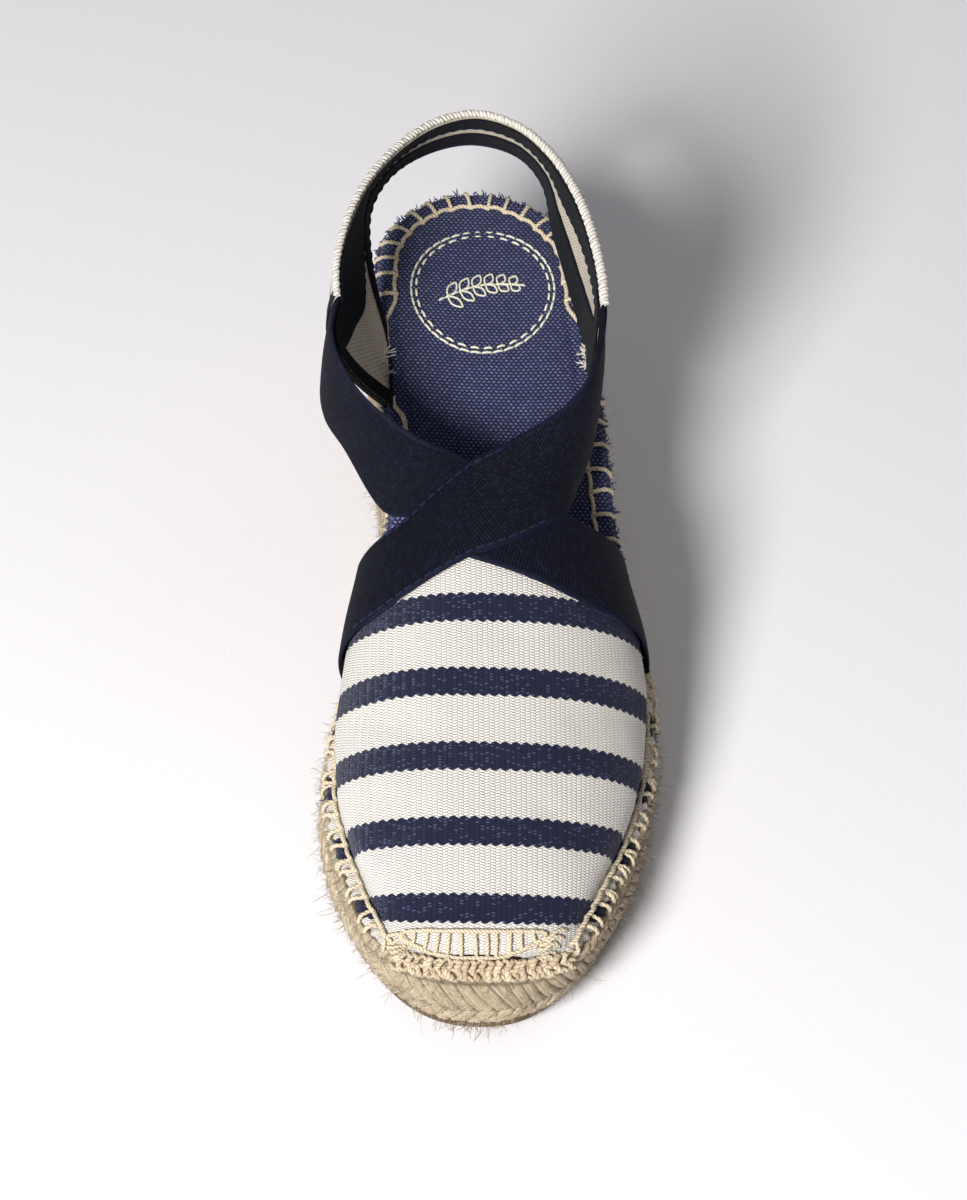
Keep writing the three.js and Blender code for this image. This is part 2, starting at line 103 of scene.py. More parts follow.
LOWER_ON_FORM = table("back_turn back_y back_lift front_turn front_y front_lift", [
    (1, 5, UNDER, 1, -23, UNDER), (0.86, 2, UNDER, 0.88, -21.5, UNDER),
    (0.74, 1, UNDER, 0.72, -23, UNDER), (0.62, 5, UNDER, 0.56, -18, UNDER),
    (0.51, 11, UNDER, 0.42, -10.5, UNDER), (0.43, 15, 1.5, 0.32, -1.6, 1.2),
])
# Free part of each ribbon: back edge, then front edge.
UPPER_FREE = [((20.5, 26, 88), (24, 13, 67.6)), ((26.8, 33, 93.8), (28, 26, 68.8)),
              ((29.4, 40.5, 98.8), (29.8, 41, 72.6))]
LOWER_FREE = [((-20, 17.4, 82), (-29.6, 6.6, 63.4)), ((-33.5, 24.5, 88), (-40.4, 26, 66.4)),
              ((-41, 32, 93.6), (-46, 35, 69)), ((-44.4, 40.5, 99.2), (-47, 43, 74))]
# Heel band from the inner front corner round the heel; a bottom height of 0 stands on the sole.
BAND_ROWS = table("top_x top_y top_z low_x low_y low_z bulge", [
    (-42.8, 49, 103.6, -27.8, 48, 0, 8), (-43.2, 57, 106.0, -28.6, 62, 0, 6.5),
    (-42.0, 66, 108.2, -29.9, 72, 0, 4), (-39.3, 76, 110.2, -34.4, 84, 77, 1.8),
    (-35.0, 86, 111.6, -35.6, 96, 88, 1), (-28.0, 96.6, 112.6, -30.4, 105.4, 93.4, 0.6),
    (-17.2, 107, 113.0, -19.0, 115, 94.6, 0.6), (-5.6, 111, 113.0, -5.6, 119, 94.8, 0.6),
    (6.0, 106.6, 113.0, 7.6, 114.4, 94.6, 0.6), (14.8, 97, 112.4, 15.0, 104.6, 92.6, 0.6),
    (20.8, 86, 111.2, 18.0, 92, 86.4, 0.6), (24.6, 76, 109.6, 22.4, 82, 77, 0.6),
    (27.2, 66, 107.6, 27.0, 73, 0, 0.6), (28.9, 57, 105.2, 28.2, 65, 0, 0.6),
    (29.6, 49, 102.8, 29.4, 57, 0, 0.6),
])

# ------------------------------------------------------------------ sizes of the fine work
SEAM = table("y inset rise lip", [  # seam inside the cloth edge and above the sole, and how
    (-119, 1.0, 0.6, -0.2), (-114, 1.2, 1.0, -0.2), (-110, 2.8, 2.2, 0.8),  # far inside the
    (-105, 4.6, 2.8, 1.2), (-98, 5.0, 2.7, 1.2), (-88, 4.5, 2.4, 0.9),      # canvas ends
    (-75, 3.8, 2.1, 0.3), (-60, 3.1, 1.8, -0.1), (-45, 2.8, 1.8, -0.2), (-7, 2.8, 1.8, -0.2),
])
STRIPE_PITCH = 21.0
STRIPE_WIDTH = 7.7
STRIPE_ORIGIN_Y = -107.0   # middle of the first stripe on the crown
STRIPE_BOW = (4.0, 5.5)    # how far the stripes lag toward the heel: by width, and low down
CREASES = [                # x, y of both ends, half width and depth of soft troughs (+: ridges)
    (-34, -52, -20, -60, 4.0, -0.45), (-30, -44, -16, -50, 4.0, 0.30),
    (38, -46, 24, -54, 4.5, -0.40), (35, -38, 22, -44, 4.0, 0.30),
    (-28, -88, -17, -82, 4.0, -0.40), (25, -86, 15, -80, 4.0, -0.35),
    (-16, -104, -6, -100, 3.5, -0.30), (8, -101, 17, -104, 3.5, -0.30),
    (-10, -30, 6, -33, 5.0, -0.35), (-36, -68, -24, -73, 3.5, 0.25), (36, -66, 25, -70, 3.5, 0.25),
]
BASE_ROW = 15.5            # height of the first jute braid above the rubber
BASE_PITCH = 4.3           # and of one chevron along it
BRAID_ROW = 10.5           # the same for the braids above it
BRAID_PITCH = 4.6
BRAID_MIDDLE = 0.42        # where the chevrons turn, as a share of the height
RIM_ROW = 5.0              # height of the strand that follows the top edge, and its pitch
RIM_PITCH = 3.6
BAND_TAPES = table("row top low", [   # width of the inner tapes as shares of the band's height
    (0, 0.52, 0.02), (1, 0.66, 0.02), (2, 0.72, 0.05), (3, 0.72, 0.20), (4, 0.52, 0.40),
    (5, 0.43, 0.42), (9, 0.43, 0.42), (10, 0.40, 0.40), (11, 0.32, 0.40), (12, 0.28, 0.44),
    (13, 0.28, 0.52), (14, 0.30, 0.60),
])
STITCH_INSET = 5.7         # inner line of the blanket stitch on the insole
STITCH_PITCH = 6.5
RUNG = table("outward lift", [  # a rung's course, from the inner line out over the edge
    (-5.9, 1.9), (-5.2, 2.6), (-3.4, 2.8), (-1.9, 2.65), (-0.7, 2.1), (0.2, 1.0), (0.8, -0.4),
    (0.9, -1.6),
])
VAMP_STITCH_PITCH = 5.2
THREAD = 0.62              # radius of the jute sewing thread
BADGE = (-2.0, 86.0, 20.6)  # centre and radius of the sewn ring on the insole
VAMP_WALL = 1.1
FLANGE = 7                 # columns of the vamp's grid in its flange, outside the seam
WHITE_EDGE = 5.5           # white cloth of the heel band above its first stripe
JUTE_HAIRS = 4200
TOE_HAIRS = 50

# ------------------------------------------------------------------ sizes of the picture
CAMERA = (-32.9, -644.9, 846.2)   # the photographer's place above and in front of the toe
CAMERA_AIM = (-1.0, -7.0, 42.0)
CAMERA_UP = (-0.0219, 0.7823, 0.6225)
LENS = 111.0
LIGHT_AIM = (0, 0, 40)
LIGHTS = [                 # name, place, width in metres, watts, tint
    ("key", (-520, -950, 880), 0.42, 25.5, (1.0, 0.99, 0.975)),
    ("back_fill", (700, 900, 1200), 1.6, 1.8, (1.0, 1.0, 1.0)),
    ("top_fill", (350, 700, 1500), 1.6, 1.8, (1.0, 1.0, 1.0)),
]
SKY = (236, 236, 242)
SKY_STRENGTH = 0.14
FLOOR_REACH = 4.0          # metres


# ------------------------------------------------------------------ curves and surfaces
def smooth_curve(columns, inputs, outputs):
    """Monotone cubic through one column of a table over another, flat beyond both ends."""
    x, y = columns[inputs], columns[outputs]
    h = np.diff(x)
    d = np.diff(y) / h
    m = np.concatenate([d[:1], np.zeros(len(d) - 1), d[-1:]])
    for i in range(1, len(d)):
        if d[i - 1] * d[i] > 0:
            a, b = 2 * h[i] + h[i - 1], h[i] + 2 * h[i - 1]
            m[i] = (a + b) / (a / d[i - 1] + b / d[i])

    def value(v):
        v = np.clip(v, x[0], x[-1])
        i = np.clip(np.searchsorted(x, v, side="right") - 1, 0, len(h) - 1)
        t = (v - x[i]) / h[i]
        start = (1 + 2 * t) * (1 - t) ** 2 * y[i] + t * (1 - t) ** 2 * h[i] * m[i]
        return start + t * t * (3 - 2 * t) * y[i + 1] + t * t * (t - 1) * h[i] * m[i + 1]

    return value


sole_medial, sole_lateral, sole_top, sole_bulge = (
    smooth_curve(SOLE, "y", k) for k in ("medial", "lateral", "top", "bulge"))
wall_share, wall_overhang, wall_toe = (
    smooth_curve(WALL, "level", k) for k in ("share", "overhang", "toe"))
form_ridge, form_crown, form_square, form_lean = (
    smooth_curve(FORM, "y", k) for k in ("ridge", "crown", "square", "lean"))
seam_inset, seam_rise, seam_lip = (smooth_curve(SEAM, "y", k) for k in ("inset", "rise", "lip"))


def lerp(a, b, t):
    return a + (b - a) * t


def smoothstep(low, high, value):
    t = np.clip((value - low) / (high - low), 0, 1)
    return t * t * (3 - 2 * t)


def unit(v):
    return v / np.maximum(np.linalg.norm(v, axis=-1, keepdims=True), 1e-9)


def toe_between(share, inset):
    return (lerp(GROUND_TOE[0], TOP_TOE[0], share), lerp(GROUND_TOE[1], TOP_TOE[1], share), inset)


def edge_x(side, y, inset, toe):
    """x of the sole's edge at y, inset inward, with a rounded toe and heel."""
    round_from, square, toe_inset = toe
    inward = inset if side == "medial" else -inset
    straight = (sole_medial(y) if side == "medial" else sole_lateral(y)) + inward
    reach = np.clip((round_from - y) / (round_from - TOE_Y - toe_inset), 0, 1)
    at_toe = TOE_AXIS_X + (straight - TOE_AXIS_X) * (1 - reach ** square) ** (1 / square)
    back = np.clip((y - HEEL_ROUND_Y) / (HEEL_Y - inset - HEEL_ROUND_Y), 0, 1)
    at_heel = HEEL_AXIS_X + (straight - HEEL_AXIS_X) * np.sqrt(1 - back ** 2)
    return np.where(y < round_from, at_toe, np.where(y > HEEL_ROUND_Y, at_heel, straight))


def lengths(points):
    """Length along each column of points up to each of its rows."""
    steps = np.linalg.norm(np.diff(points, axis=0), axis=-1)
    return np.concatenate([np.zeros_like(steps[:1]), np.cumsum(steps, axis=0)])


def at_length(places, run, line):
    """Points of a line at places counted in run, which has one value per point."""
    return np.stack([np.interp(places, run, column) for column in line.T], -1)


def closed(points, axis=0):
    """The points with the first repeated at the end."""
    return np.concatenate([points, points.take([0], axis)], axis)


def resample(points, count):
    """count + 1 points evenly spaced along a polyline."""
    run = lengths(points)
    return at_length(np.linspace(0, run[-1], count + 1), run, points)


def outline(bulge_share, toe, count):
    """Closed plan outline from the heel tip down the inner side, round the toe and back."""
    front, back = TOE_Y + toe[2], HEEL_Y + sole_bulge(HEEL_Y) * bulge_share
    y = lerp(front, back, (1 - np.cos(np.linspace(0, np.pi, 700))) / 2)
    inset = -sole_bulge(y) * bulge_share
    inner = np.stack([edge_x("medial", y, inset, toe), y], -1)[::-1]
    outer = np.stack([edge_x("lateral", y, inset, toe), y], -1)
    inner[0, 0] = outer[-1, 0] = HEEL_AXIS_X
    return np.concatenate([resample(inner, count // 2)[:-1], resample(outer, count // 2)[:-1]])


def spring(y):
    return SPRING_HEIGHT * np.maximum(0, (SPRING_START_Y - y) / (SPRING_START_Y - TOE_Y)) ** 2


def grid_normals(points, wrap=False):
    """Unit normals of a grid of points: steps along the rows cross steps along the columns."""
    if wrap:
        padded = np.concatenate([points[:, -1:], points, points[:, :1]], axis=1)
        across = padded[:, 2:] - padded[:, :-2]
    else:
        across = np.gradient(points, axis=1)
    return unit(np.cross(np.gradient(points, axis=0), across))


def facing(normals, reference):
    """The normals, all turned over if on the whole they point away from the reference."""
    return normals * np.sign(np.sum(normals * reference))


def surface_point(y, turn):
    """Point on the form: turn runs from the inner edge (0) over the crown to the outer (1)."""
    y, turn = np.broadcast_arrays(np.asarray(y, float), np.asarray(turn, float))
    base = sole_top(y) + SEAT_GAP
    exponent = 2 / form_square(y)
    rise = np.maximum(np.sin(np.pi * turn), 0) ** exponent
    spread = np.abs(np.cos(np.pi * turn)) ** exponent
    inner = turn < 0.5
    toe = toe_between(1, VAMP_INSET)
    edge = np.where(inner, edge_x("medial", y, VAMP_INSET, toe),
                    edge_x("lateral", y, VAMP_INSET, toe))
    lean = np.where(inner, -form_lean(y) * 4 * rise * (1 - rise), 0)
    x = form_ridge(y) + (edge - form_ridge(y) + lean) * spread
    return np.stack([x, y, base + (form_crown(y) - base) * rise], -1)


def form_point(y, turn, lift):
    """The same point lifted off the form along its outward normal."""
    y, turn, lift = np.broadcast_arrays(*(np.asarray(a, float) for a in (y, turn, lift)))
    step = 0.01
    around = surface_point(y, np.minimum(turn + step, 1)) - surface_point(y, np.maximum(turn - step, 0))
    along = surface_point(y + 1, turn) - surface_point(y - 1, turn)
    outward = -unit(np.cross(along, around))
    ends = (turn <= 0) | (turn >= 1)
    outward[..., 2] = np.where(ends, 0, outward[..., 2])
    return surface_point(y, turn) + unit(outward) * lift[..., None]


def through(lines, places):
    """Centripetal Catmull-Rom through rows of points, at places counted in rows."""
    lines = np.asarray(lines, float)
    first, last = 2 * lines[:1] - lines[1:2], 2 * lines[-1:] - lines[-2:-1]
    padded = np.concatenate([first, lines, last])
    found = []
    for place in places:
        i = min(int(place), len(lines) - 2)
        p0, p1, p2, p3 = padded[i:i + 4]
        a, b, c = (np.sum((q - p) ** 2, -1, keepdims=True) ** 0.25
                   for p, q in ((p0, p1), (p1, p2), (p2, p3)))
        m1 = ((p1 - p0) / a - (p2 - p0) / (a + b) + (p2 - p1) / b) * b
        m2 = ((p2 - p1) / b - (p3 - p1) / (b + c) + (p3 - p2) / c) * b
        w = place - i
        found.append(p1 + m1 * w + (3 * (p2 - p1) - 2 * m1 - m2) * w ** 2
                     + (2 * (p1 - p2) + m1 + m2) * w ** 3)
    return np.array(found)


def wander(s, length, waves, seed):
    """Smooth periodic random line along a closed edge, about -1 to 1."""
    draw = np.random.default_rng(seed)
    total = sum(draw.normal() * np.sin(2 * np.pi * (k * s / length + draw.random()))
                for k in waves)
    return total / math.sqrt(len(waves))


# The closed cloth edge on top of the sole, by its length from the heel tip.
RIM_COUNT = 1600
RIM = outline(0, toe_between(1, 0), RIM_COUNT)
RIM_RUN = lengths(closed(RIM))
RIM_LENGTH = RIM_RUN[-1]
RIM_TANGENT = unit(np.roll(RIM, -3, axis=0) - np.roll(RIM, 3, axis=0))
RIM_OUT = np.stack([RIM_TANGENT[:, 1], -RIM_TANGENT[:, 0]], -1)


def rim(s, outward=0.0):
    """Plan point and outward direction of the cloth edge at length s from the heel tip."""
    s = np.mod(s, RIM_LENGTH)
    out = at_length(s, RIM_RUN, closed(RIM_OUT))
    return at_length(s, RIM_RUN, closed(RIM)) + out * np.asarray(outward)[..., None], out


def rim_place(y, side):
    """Length s where the cloth edge passes y on the medial or lateral side."""
    half = RIM_COUNT // 2
    if side == "medial":
        return float(np.interp(-y, -RIM[:half, 1], RIM_RUN[:half]))
    return float(np.interp(y, RIM[half:, 1], RIM_RUN[half:-1]))


# ------------------------------------------------------------------ meshes
class Parts:
    """Gathers grids and tubes into one mesh, with attributes kept on the face corners."""

    def __init__(self):
        self.points, self.corners, self.sizes, self.slots = [], [], [], []
        self.values = {}
        self.count = 0

    def add_faces(self, faces, slot, values):
        """faces: (n, k) point numbers; values: name -> (n, k, 3)."""
        self.corners.append(faces.ravel())
        self.sizes.append(np.full(len(faces), faces.shape[1]))
        self.slots.append(np.full(len(faces), slot))
        for name, value in values.items():
            self.values.setdefault(name, []).append(value.reshape(-1, 3))

    def grid(self, points, flip=False, wrap=False, slot=0, **values):
        """A grid of points. Each value has a row of 3 numbers per point, and where the grid
        wraps one more column, so that a pattern can run past the join."""
        rows, columns = points.shape[:2]
        start = self.count
        self.points.append(points.reshape(-1, 3))
        self.count += rows * columns
        i, j = np.meshgrid(np.arange(rows - 1), np.arange(columns if wrap else columns - 1),
                           indexing="ij")
        i, j = i.ravel(), j.ravel()
        corners = [(i, j), (i + 1, j), (i + 1, j + 1), (i, j + 1)]
        if flip:
            corners = corners[::-1]
        faces = np.stack([start + a * columns + b % columns for a, b in corners], -1)
        found = {}
        for name, value in values.items():
            found[name] = np.stack([value[a, b] for a, b in corners], 1)
        self.add_faces(faces, slot, found)
        return start

    def strip_cap(self, ring_start, count, flip, slot=0, **values):
        """Closes a ring that starts at the heel tip with a strip of faces across it."""
        left = np.arange(1, count // 2)
        right = count - left
        quads = np.stack([left[:-1], left[1:], right[1:], right[:-1]], -1)
        ends = np.array([[0, 1, count - 1], [count // 2, count // 2 + 1, count // 2 - 1]])
        for faces in (quads, ends):
            faces = faces[:, ::-1] if flip else faces
            self.add_faces(faces + ring_start, slot, {k: v[faces] for k, v in values.items()})

    def solid(self, points, **values):
        """A grid that wraps round, closed by faces across its first and last rows."""
        rows, columns = points.shape[:2]
        start = self.grid(points, flip=True, wrap=True, **values)
        for row, flip in ((0, True), (rows - 1, False)):
            ring = {name: value[row, :columns] for name, value in values.items()}
            self.strip_cap(start + row * columns, columns, flip, **ring)

    def sheet(self, middle, normals, half, slots=(0, 0, 0), **values):
        """A shell that reaches half its thickness to both sides of a grid; returns its outer
        face. half has one value per column."""
        outer = middle + normals * half[None, :, None]
        inner = middle - normals * half[None, :, None]
        turned = np.sum(grid_normals(middle) * normals) < 0
        order = slice(None, None, -1) if turned else slice(None)
        values = {name: value[:, order] for name, value in values.items()}
        self.shell(outer[:, order], inner[:, order], slots, **values)
        return outer

    def shell(self, outside, inside, slots=(0, 0, 0), **values):
        """Two grids joined round the rim. Values belong to the grids' points."""
        a = self.grid(outside, slot=slots[0], **values)
        b = self.grid(inside, flip=True, slot=slots[1], **values)
        rows, columns = outside.shape[:2]
        edge = ([(0, j) for j in range(columns)] + [(i, columns - 1) for i in range(1, rows)]
                + [(rows - 1, j) for j in range(columns - 2, -1, -1)]
                + [(i, 0) for i in range(rows - 2, 0, -1)])
        k = np.array([i * columns + j for i, j in edge])
        nxt = np.roll(k, -1)
        faces = np.stack([a + k, a + nxt, b + nxt, b + k], -1)
        flat = {n: v.reshape(-1, 3) for n, v in values.items()}
        found = {n: np.stack([v[k], v[nxt], v[nxt], v[k]], 1) for n, v in flat.items()}
        self.add_faces(faces, slots[2], found)

    def tube(self, path, radius, sides=6, twist=0.0, tone=0.0, taper=0.7):
        """A thread along path. twist is the pitch of its two plies, 0 for a plain one."""
        path = np.asarray(path, float)
        count = len(path)
        run = lengths(path)
        tangent = unit(np.gradient(path, axis=0))
        side = np.cross(tangent[0], (0.31, 0.17, 0.93))
        frames = []
        for t in tangent:
            side = side - t * np.dot(side, t)
            side = side / max(np.linalg.norm(side), 1e-9)
            frames.append((side, np.cross(t, side)))
        angle = np.arange(sides) * 2 * np.pi / sides
        size = np.zeros(count) + radius
        size[[0, -1]] *= taper
        frames = np.array(frames)
        swell = np.ones((count, sides))
        if twist:
            swell = 0.80 + 0.34 * np.abs(np.cos(angle[None] - np.pi * run[:, None] / twist))
        ring = (np.cos(angle)[None, :, None] * frames[:, 0][:, None]
                + np.sin(angle)[None, :, None] * frames[:, 1][:, None])
        points = path[:, None] + ring * (size[:, None] * swell)[..., None]
        turn = np.arange(sides + 1) / sides
        value = np.zeros((count, sides + 1, 3))
        value[..., 0] = run[:, None]
        value[..., 1] = turn[None]
        value[..., 2] = tone
        start = self.grid(points, flip=True, wrap=True, thread=value)
        caps = np.array([np.arange(sides)[::-1], np.arange(sides) + (count - 1) * sides])
        flat = value[:, :-1].reshape(-1, 3)
        self.add_faces(caps + start, 0, {"thread": flat[caps]})

    def build(self, name, materials, stands_for=()):
        """Makes the mesh object, in metres, riding on the part's one body."""
        mesh = bpy.data.meshes.new(name)
        points = np.concatenate(self.points) * MM
        corners = np.concatenate(self.corners)
        sizes = np.concatenate(self.sizes)
        mesh.vertices.add(len(points))
        mesh.vertices.foreach_set("co", points.astype(np.float32).ravel())
        mesh.loops.add(len(corners))
        mesh.loops.foreach_set("vertex_index", corners.astype(np.int32))
        mesh.polygons.add(len(sizes))
        starts = np.concatenate([[0], np.cumsum(sizes)[:-1]])
        mesh.polygons.foreach_set("loop_start", starts.astype(np.int32))
        mesh.update(calc_edges=True)
        mesh.polygons.foreach_set("material_index", np.concatenate(self.slots).astype(np.int32))
        mesh.polygons.foreach_set("use_smooth", np.ones(len(sizes), bool))
        for key, value in self.values.items():
            attribute = mesh.attributes.new(key, "FLOAT_VECTOR", "CORNER")
            attribute.data.foreach_set("vector", np.concatenate(value).astype(np.float32).ravel())
        for material in materials:
            mesh.materials.append(material)
        mesh.update()
        piece = bpy.data.objects.new(name, mesh)
        bpy.context.scene.collection.objects.link(piece)
        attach(piece, "root")
        if stands_for:
            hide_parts(*stands_for)


def vectors(*columns):
    """Stacks columns that broadcast together into rows of 3 numbers."""
    columns = np.broadcast_arrays(*(np.asarray(c, float) for c in columns))
    return np.stack(columns, -1)


# ------------------------------------------------------------------ materials
def colour(red, green, blue):
    """Linear colour from the usual 0 to 255 display values."""
    values = [c / 255 for c in (red, green, blue)]
    return tuple(c / 12.92 if c <= 0.04045 else ((c + 0.055) / 1.055) ** 2.4
                 for c in values) + (1.0,)


class Shader:
    """A material's node tree, built by short calls that return sockets."""

    def __init__(self, name, roughness, sheen=0.0, specular=0.3):
        self.material = bpy.data.materials.new(name)
        self.material.use_nodes = True
        self.tree = self.material.node_tree
        self.surface = self.tree.nodes["Principled BSDF"]
        self.surface.inputs["Roughness"].default_value = roughness
        self.surface.inputs["Sheen Weight"].default_value = sheen
        self.surface.inputs["Sheen Roughness"].default_value = 0.45
        self.surface.inputs["Specular IOR Level"].default_value = specular

    def put(self, socket, value):
        if isinstance(value, bpy.types.NodeSocket):
            self.tree.links.new(value, socket)
        else:
            socket.default_value = value

    def node(self, kind, inputs=(), **settings):
        node = self.tree.nodes.new(kind)
        for key, value in settings.items():
            setattr(node, key, value)
        for key, value in dict(inputs).items():
            self.put(node.inputs[key], value)
        return node

    def math(self, operation, *values):
        node = self.node("ShaderNodeMath", enumerate(values), operation=operation)
        return node.outputs[0]

    def times(self, a, b):
        return self.math("MULTIPLY", a, b)

    def plus(self, a, b):
        return self.math("ADD", a, b)

    def attribute(self, name):
        """The three numbers of a mesh attribute, and the vector itself."""
        node = self.node("ShaderNodeAttribute", attribute_name=name)
        parts = self.node("ShaderNodeSeparateXYZ", {0: node.outputs["Vector"]})
        return (*parts.outputs, node.outputs["Vector"])

    def vector(self, x=0.0, y=0.0, z=0.0):
        return self.node("ShaderNodeCombineXYZ", {0: x, 1: y, 2: z}).outputs[0]

    def place(self):
        return self.node("ShaderNodeTexCoord").outputs["Object"]

    def noise(self, vector, scale, detail=2.0, rough=0.5):
        inputs = {"Vector": vector, "Scale": scale, "Detail": detail, "Roughness": rough}
        return self.node("ShaderNodeTexNoise", inputs).outputs["Fac"]

    def chance(self, vector):
        """A random number from 0 to 1 for each whole-numbered cell."""
        return self.node("ShaderNodeTexWhiteNoise", {"Vector": vector},
                         noise_dimensions="3D").outputs["Value"]

    def spread(self, value, low, high, out_low=0.0, out_high=1.0):
        """Smooth step of a value from low..high to out_low..out_high."""
        inputs = {0: value, 1: low, 2: high, 3: out_low, 4: out_high}
        return self.node("ShaderNodeMapRange", inputs,
                         interpolation_type="SMOOTHSTEP").outputs[0]

    def blend(self, factor, a, b, mode="MIX"):
        node = self.node("ShaderNodeMix", data_type="RGBA", blend_type=mode)
        self.put(node.inputs[0], factor)
        self.put(node.inputs[6], a)
        self.put(node.inputs[7], b)
        return node.outputs[2]

    def weave(self, u, v, rib, pick, slant=0.0, groove=0.3):
        """Raised threads of a plain weave: ribs of that width run along v and show picks of
        that length, offset by half from rib to rib, with a deeper groove between the ribs for a
        larger number. Returns the height and a number per pick."""
        column = self.math("DIVIDE", u, rib)
        cell = self.math("FLOOR", column)
        odd = self.math("PINGPONG", cell, 1.0)
        across = self.math("SUBTRACT", self.math("FRACT", column), 0.5)
        lean = self.times(across, self.math("MULTIPLY_ADD", odd, -2.0 * slant, slant))
        row = self.plus(self.math("MULTIPLY_ADD", odd, 0.5, self.math("DIVIDE", v, pick)), lean)
        along = self.math("SUBTRACT", self.math("FRACT", row), 0.5)
        round_across = self.math("COSINE", self.times(across, math.pi))
        round_along = self.math("COSINE", self.times(along, math.pi))
        height = self.times(self.math("POWER", round_across, groove),
                            self.math("POWER", round_along, 0.9))
        number = self.chance(self.vector(cell, self.math("FLOOR", row), 0.0))
        return height, number

    def finish(self, base, height=None, depth=0.0, rough=None, strength=1.0):
        """Joins the colour, and the bump whose full height is depth millimetres."""
        self.put(self.surface.inputs["Base Color"], base)
        if height is not None:
            inputs = {"Height": height, "Distance": depth * MM, "Strength": strength}
            bump = self.node("ShaderNodeBump", inputs)
            self.put(self.surface.inputs["Normal"], bump.outputs[0])
        if rough is not None:
            self.put(self.surface.inputs["Roughness"], rough)
        return self.material


def striped_canvas(name):
    """Rib-woven cotton: off-white with navy stripes that have stepped edges."""
    m = Shader(name, 0.85, sheen=0.15, specular=0.2)
    u, v, _, _ = m.attribute("cloth")
    height, number = m.weave(u, v, 1.4, 0.78, 0.42)
    pair = m.math("ABSOLUTE", m.math("SINE", m.times(u, math.pi / 2.8)))
    repeat = m.math("FRACT", m.math("MULTIPLY_ADD", v, 1 / STRIPE_PITCH, 0.5))
    away = m.times(m.math("ABSOLUTE", m.math("SUBTRACT", repeat, 0.5)), STRIPE_PITCH)
    edge = m.math("MULTIPLY_ADD", pair, 0.75, STRIPE_WIDTH / 2 - 0.45)
    stripe = m.spread(m.math("SUBTRACT", edge, away), -0.1, 0.1)
    broad = m.noise(m.place(), 60.0, 3.0)
    white = m.blend(m.spread(height, 0.05, 0.75), colour(186, 179, 170), colour(245, 242, 237))
    white = m.blend(m.times(number, 0.30), white, colour(228, 220, 208))
    white = m.blend(m.spread(broad, 0.35, 0.75, 0.0, 0.22), white, colour(228, 221, 210))
    navy = m.blend(m.spread(height, 0.1, 0.8), colour(8, 10, 26), colour(27, 33, 70))
    navy = m.blend(m.times(number, 0.45), navy, colour(19, 23, 50))
    peek = m.times(m.spread(number, 0.70, 0.78), m.spread(height, 0.66, 0.9))
    navy = m.blend(m.times(peek, 0.38), navy, colour(116, 124, 166))
    fibre = m.noise(m.vector(m.times(u, 3.0), m.times(v, 0.6), 0.0), 2.0, 3.0)
    rise = m.plus(height, m.times(fibre, 0.30))
    rise = m.plus(rise, m.times(m.math("COSINE", m.times(u, 2 * math.pi / 2.8)), 0.04))
    return m.finish(m.blend(stripe, white, navy), rise, 0.34)


def plain_canvas(name, low, high, dot, rib, pick, depth, share=0.6):
    """Plain-woven cotton, ribbed crosswise, with lighter worn tops on its threads."""
    m = Shader(name, 0.88, sheen=0.1, specular=0.18)
    u, v, _, _ = m.attribute("cloth")
    height, number = m.weave(v, u, rib, pick, 0.3, groove=0.7)
    broad = m.noise(m.place(), 45.0, 4.0)
    base = m.blend(m.spread(height, 0.15, 0.85), low, high)
    base = m.blend(m.times(m.spread(height, 0.45, 0.95), m.times(number, share)), base, dot)
    base = m.blend(m.spread(broad, 0.35, 0.8, 0.0, 0.25), base, low)
    fibre = m.noise(m.vector(m.times(u, 3.0), m.times(v, 3.0), 0.0), 2.0, 2.0)
    return m.finish(base, m.plus(height, m.times(fibre, 0.3)), depth)


def elastic(name):
    """Fine crosswise ribs of a dense elastic ribbon, with plain selvedges."""
    m = Shader(name, 0.7, specular=0.13)
    along, across, _, _ = m.attribute("ribbon")
    rib = m.math("ABSOLUTE", m.math("SINE", m.times(along, math.pi / 0.78)))
    grain = m.math("ABSOLUTE", m.math("SINE", m.times(across, math.pi / 0.55)))
    inner = m.spread(m.math("ABSOLUTE", across), RIBBON_WIDTH / 2 - 1.5, RIBBON_WIDTH / 2 - 0.9)
    height = m.times(m.plus(rib, m.times(grain, 0.4)), m.math("SUBTRACT", 1.0, inner))
    height = m.plus(height, m.times(inner, 0.9))
    speck = m.chance(m.vector(m.math("FLOOR", m.math("DIVIDE", along, 0.78)),
                              m.math("FLOOR", m.math("DIVIDE", across, 0.55)), 0.0))
    base = m.blend(m.spread(height, 0.1, 1.2), colour(2, 2, 5), colour(12, 14, 27))
    base = m.blend(m.times(m.spread(speck, 0.6, 1.0), 0.45), base, colour(31, 37, 62))
    base = m.blend(m.times(inner, 0.5), base, colour(16, 20, 44))
    return m.finish(base, height, 0.16)


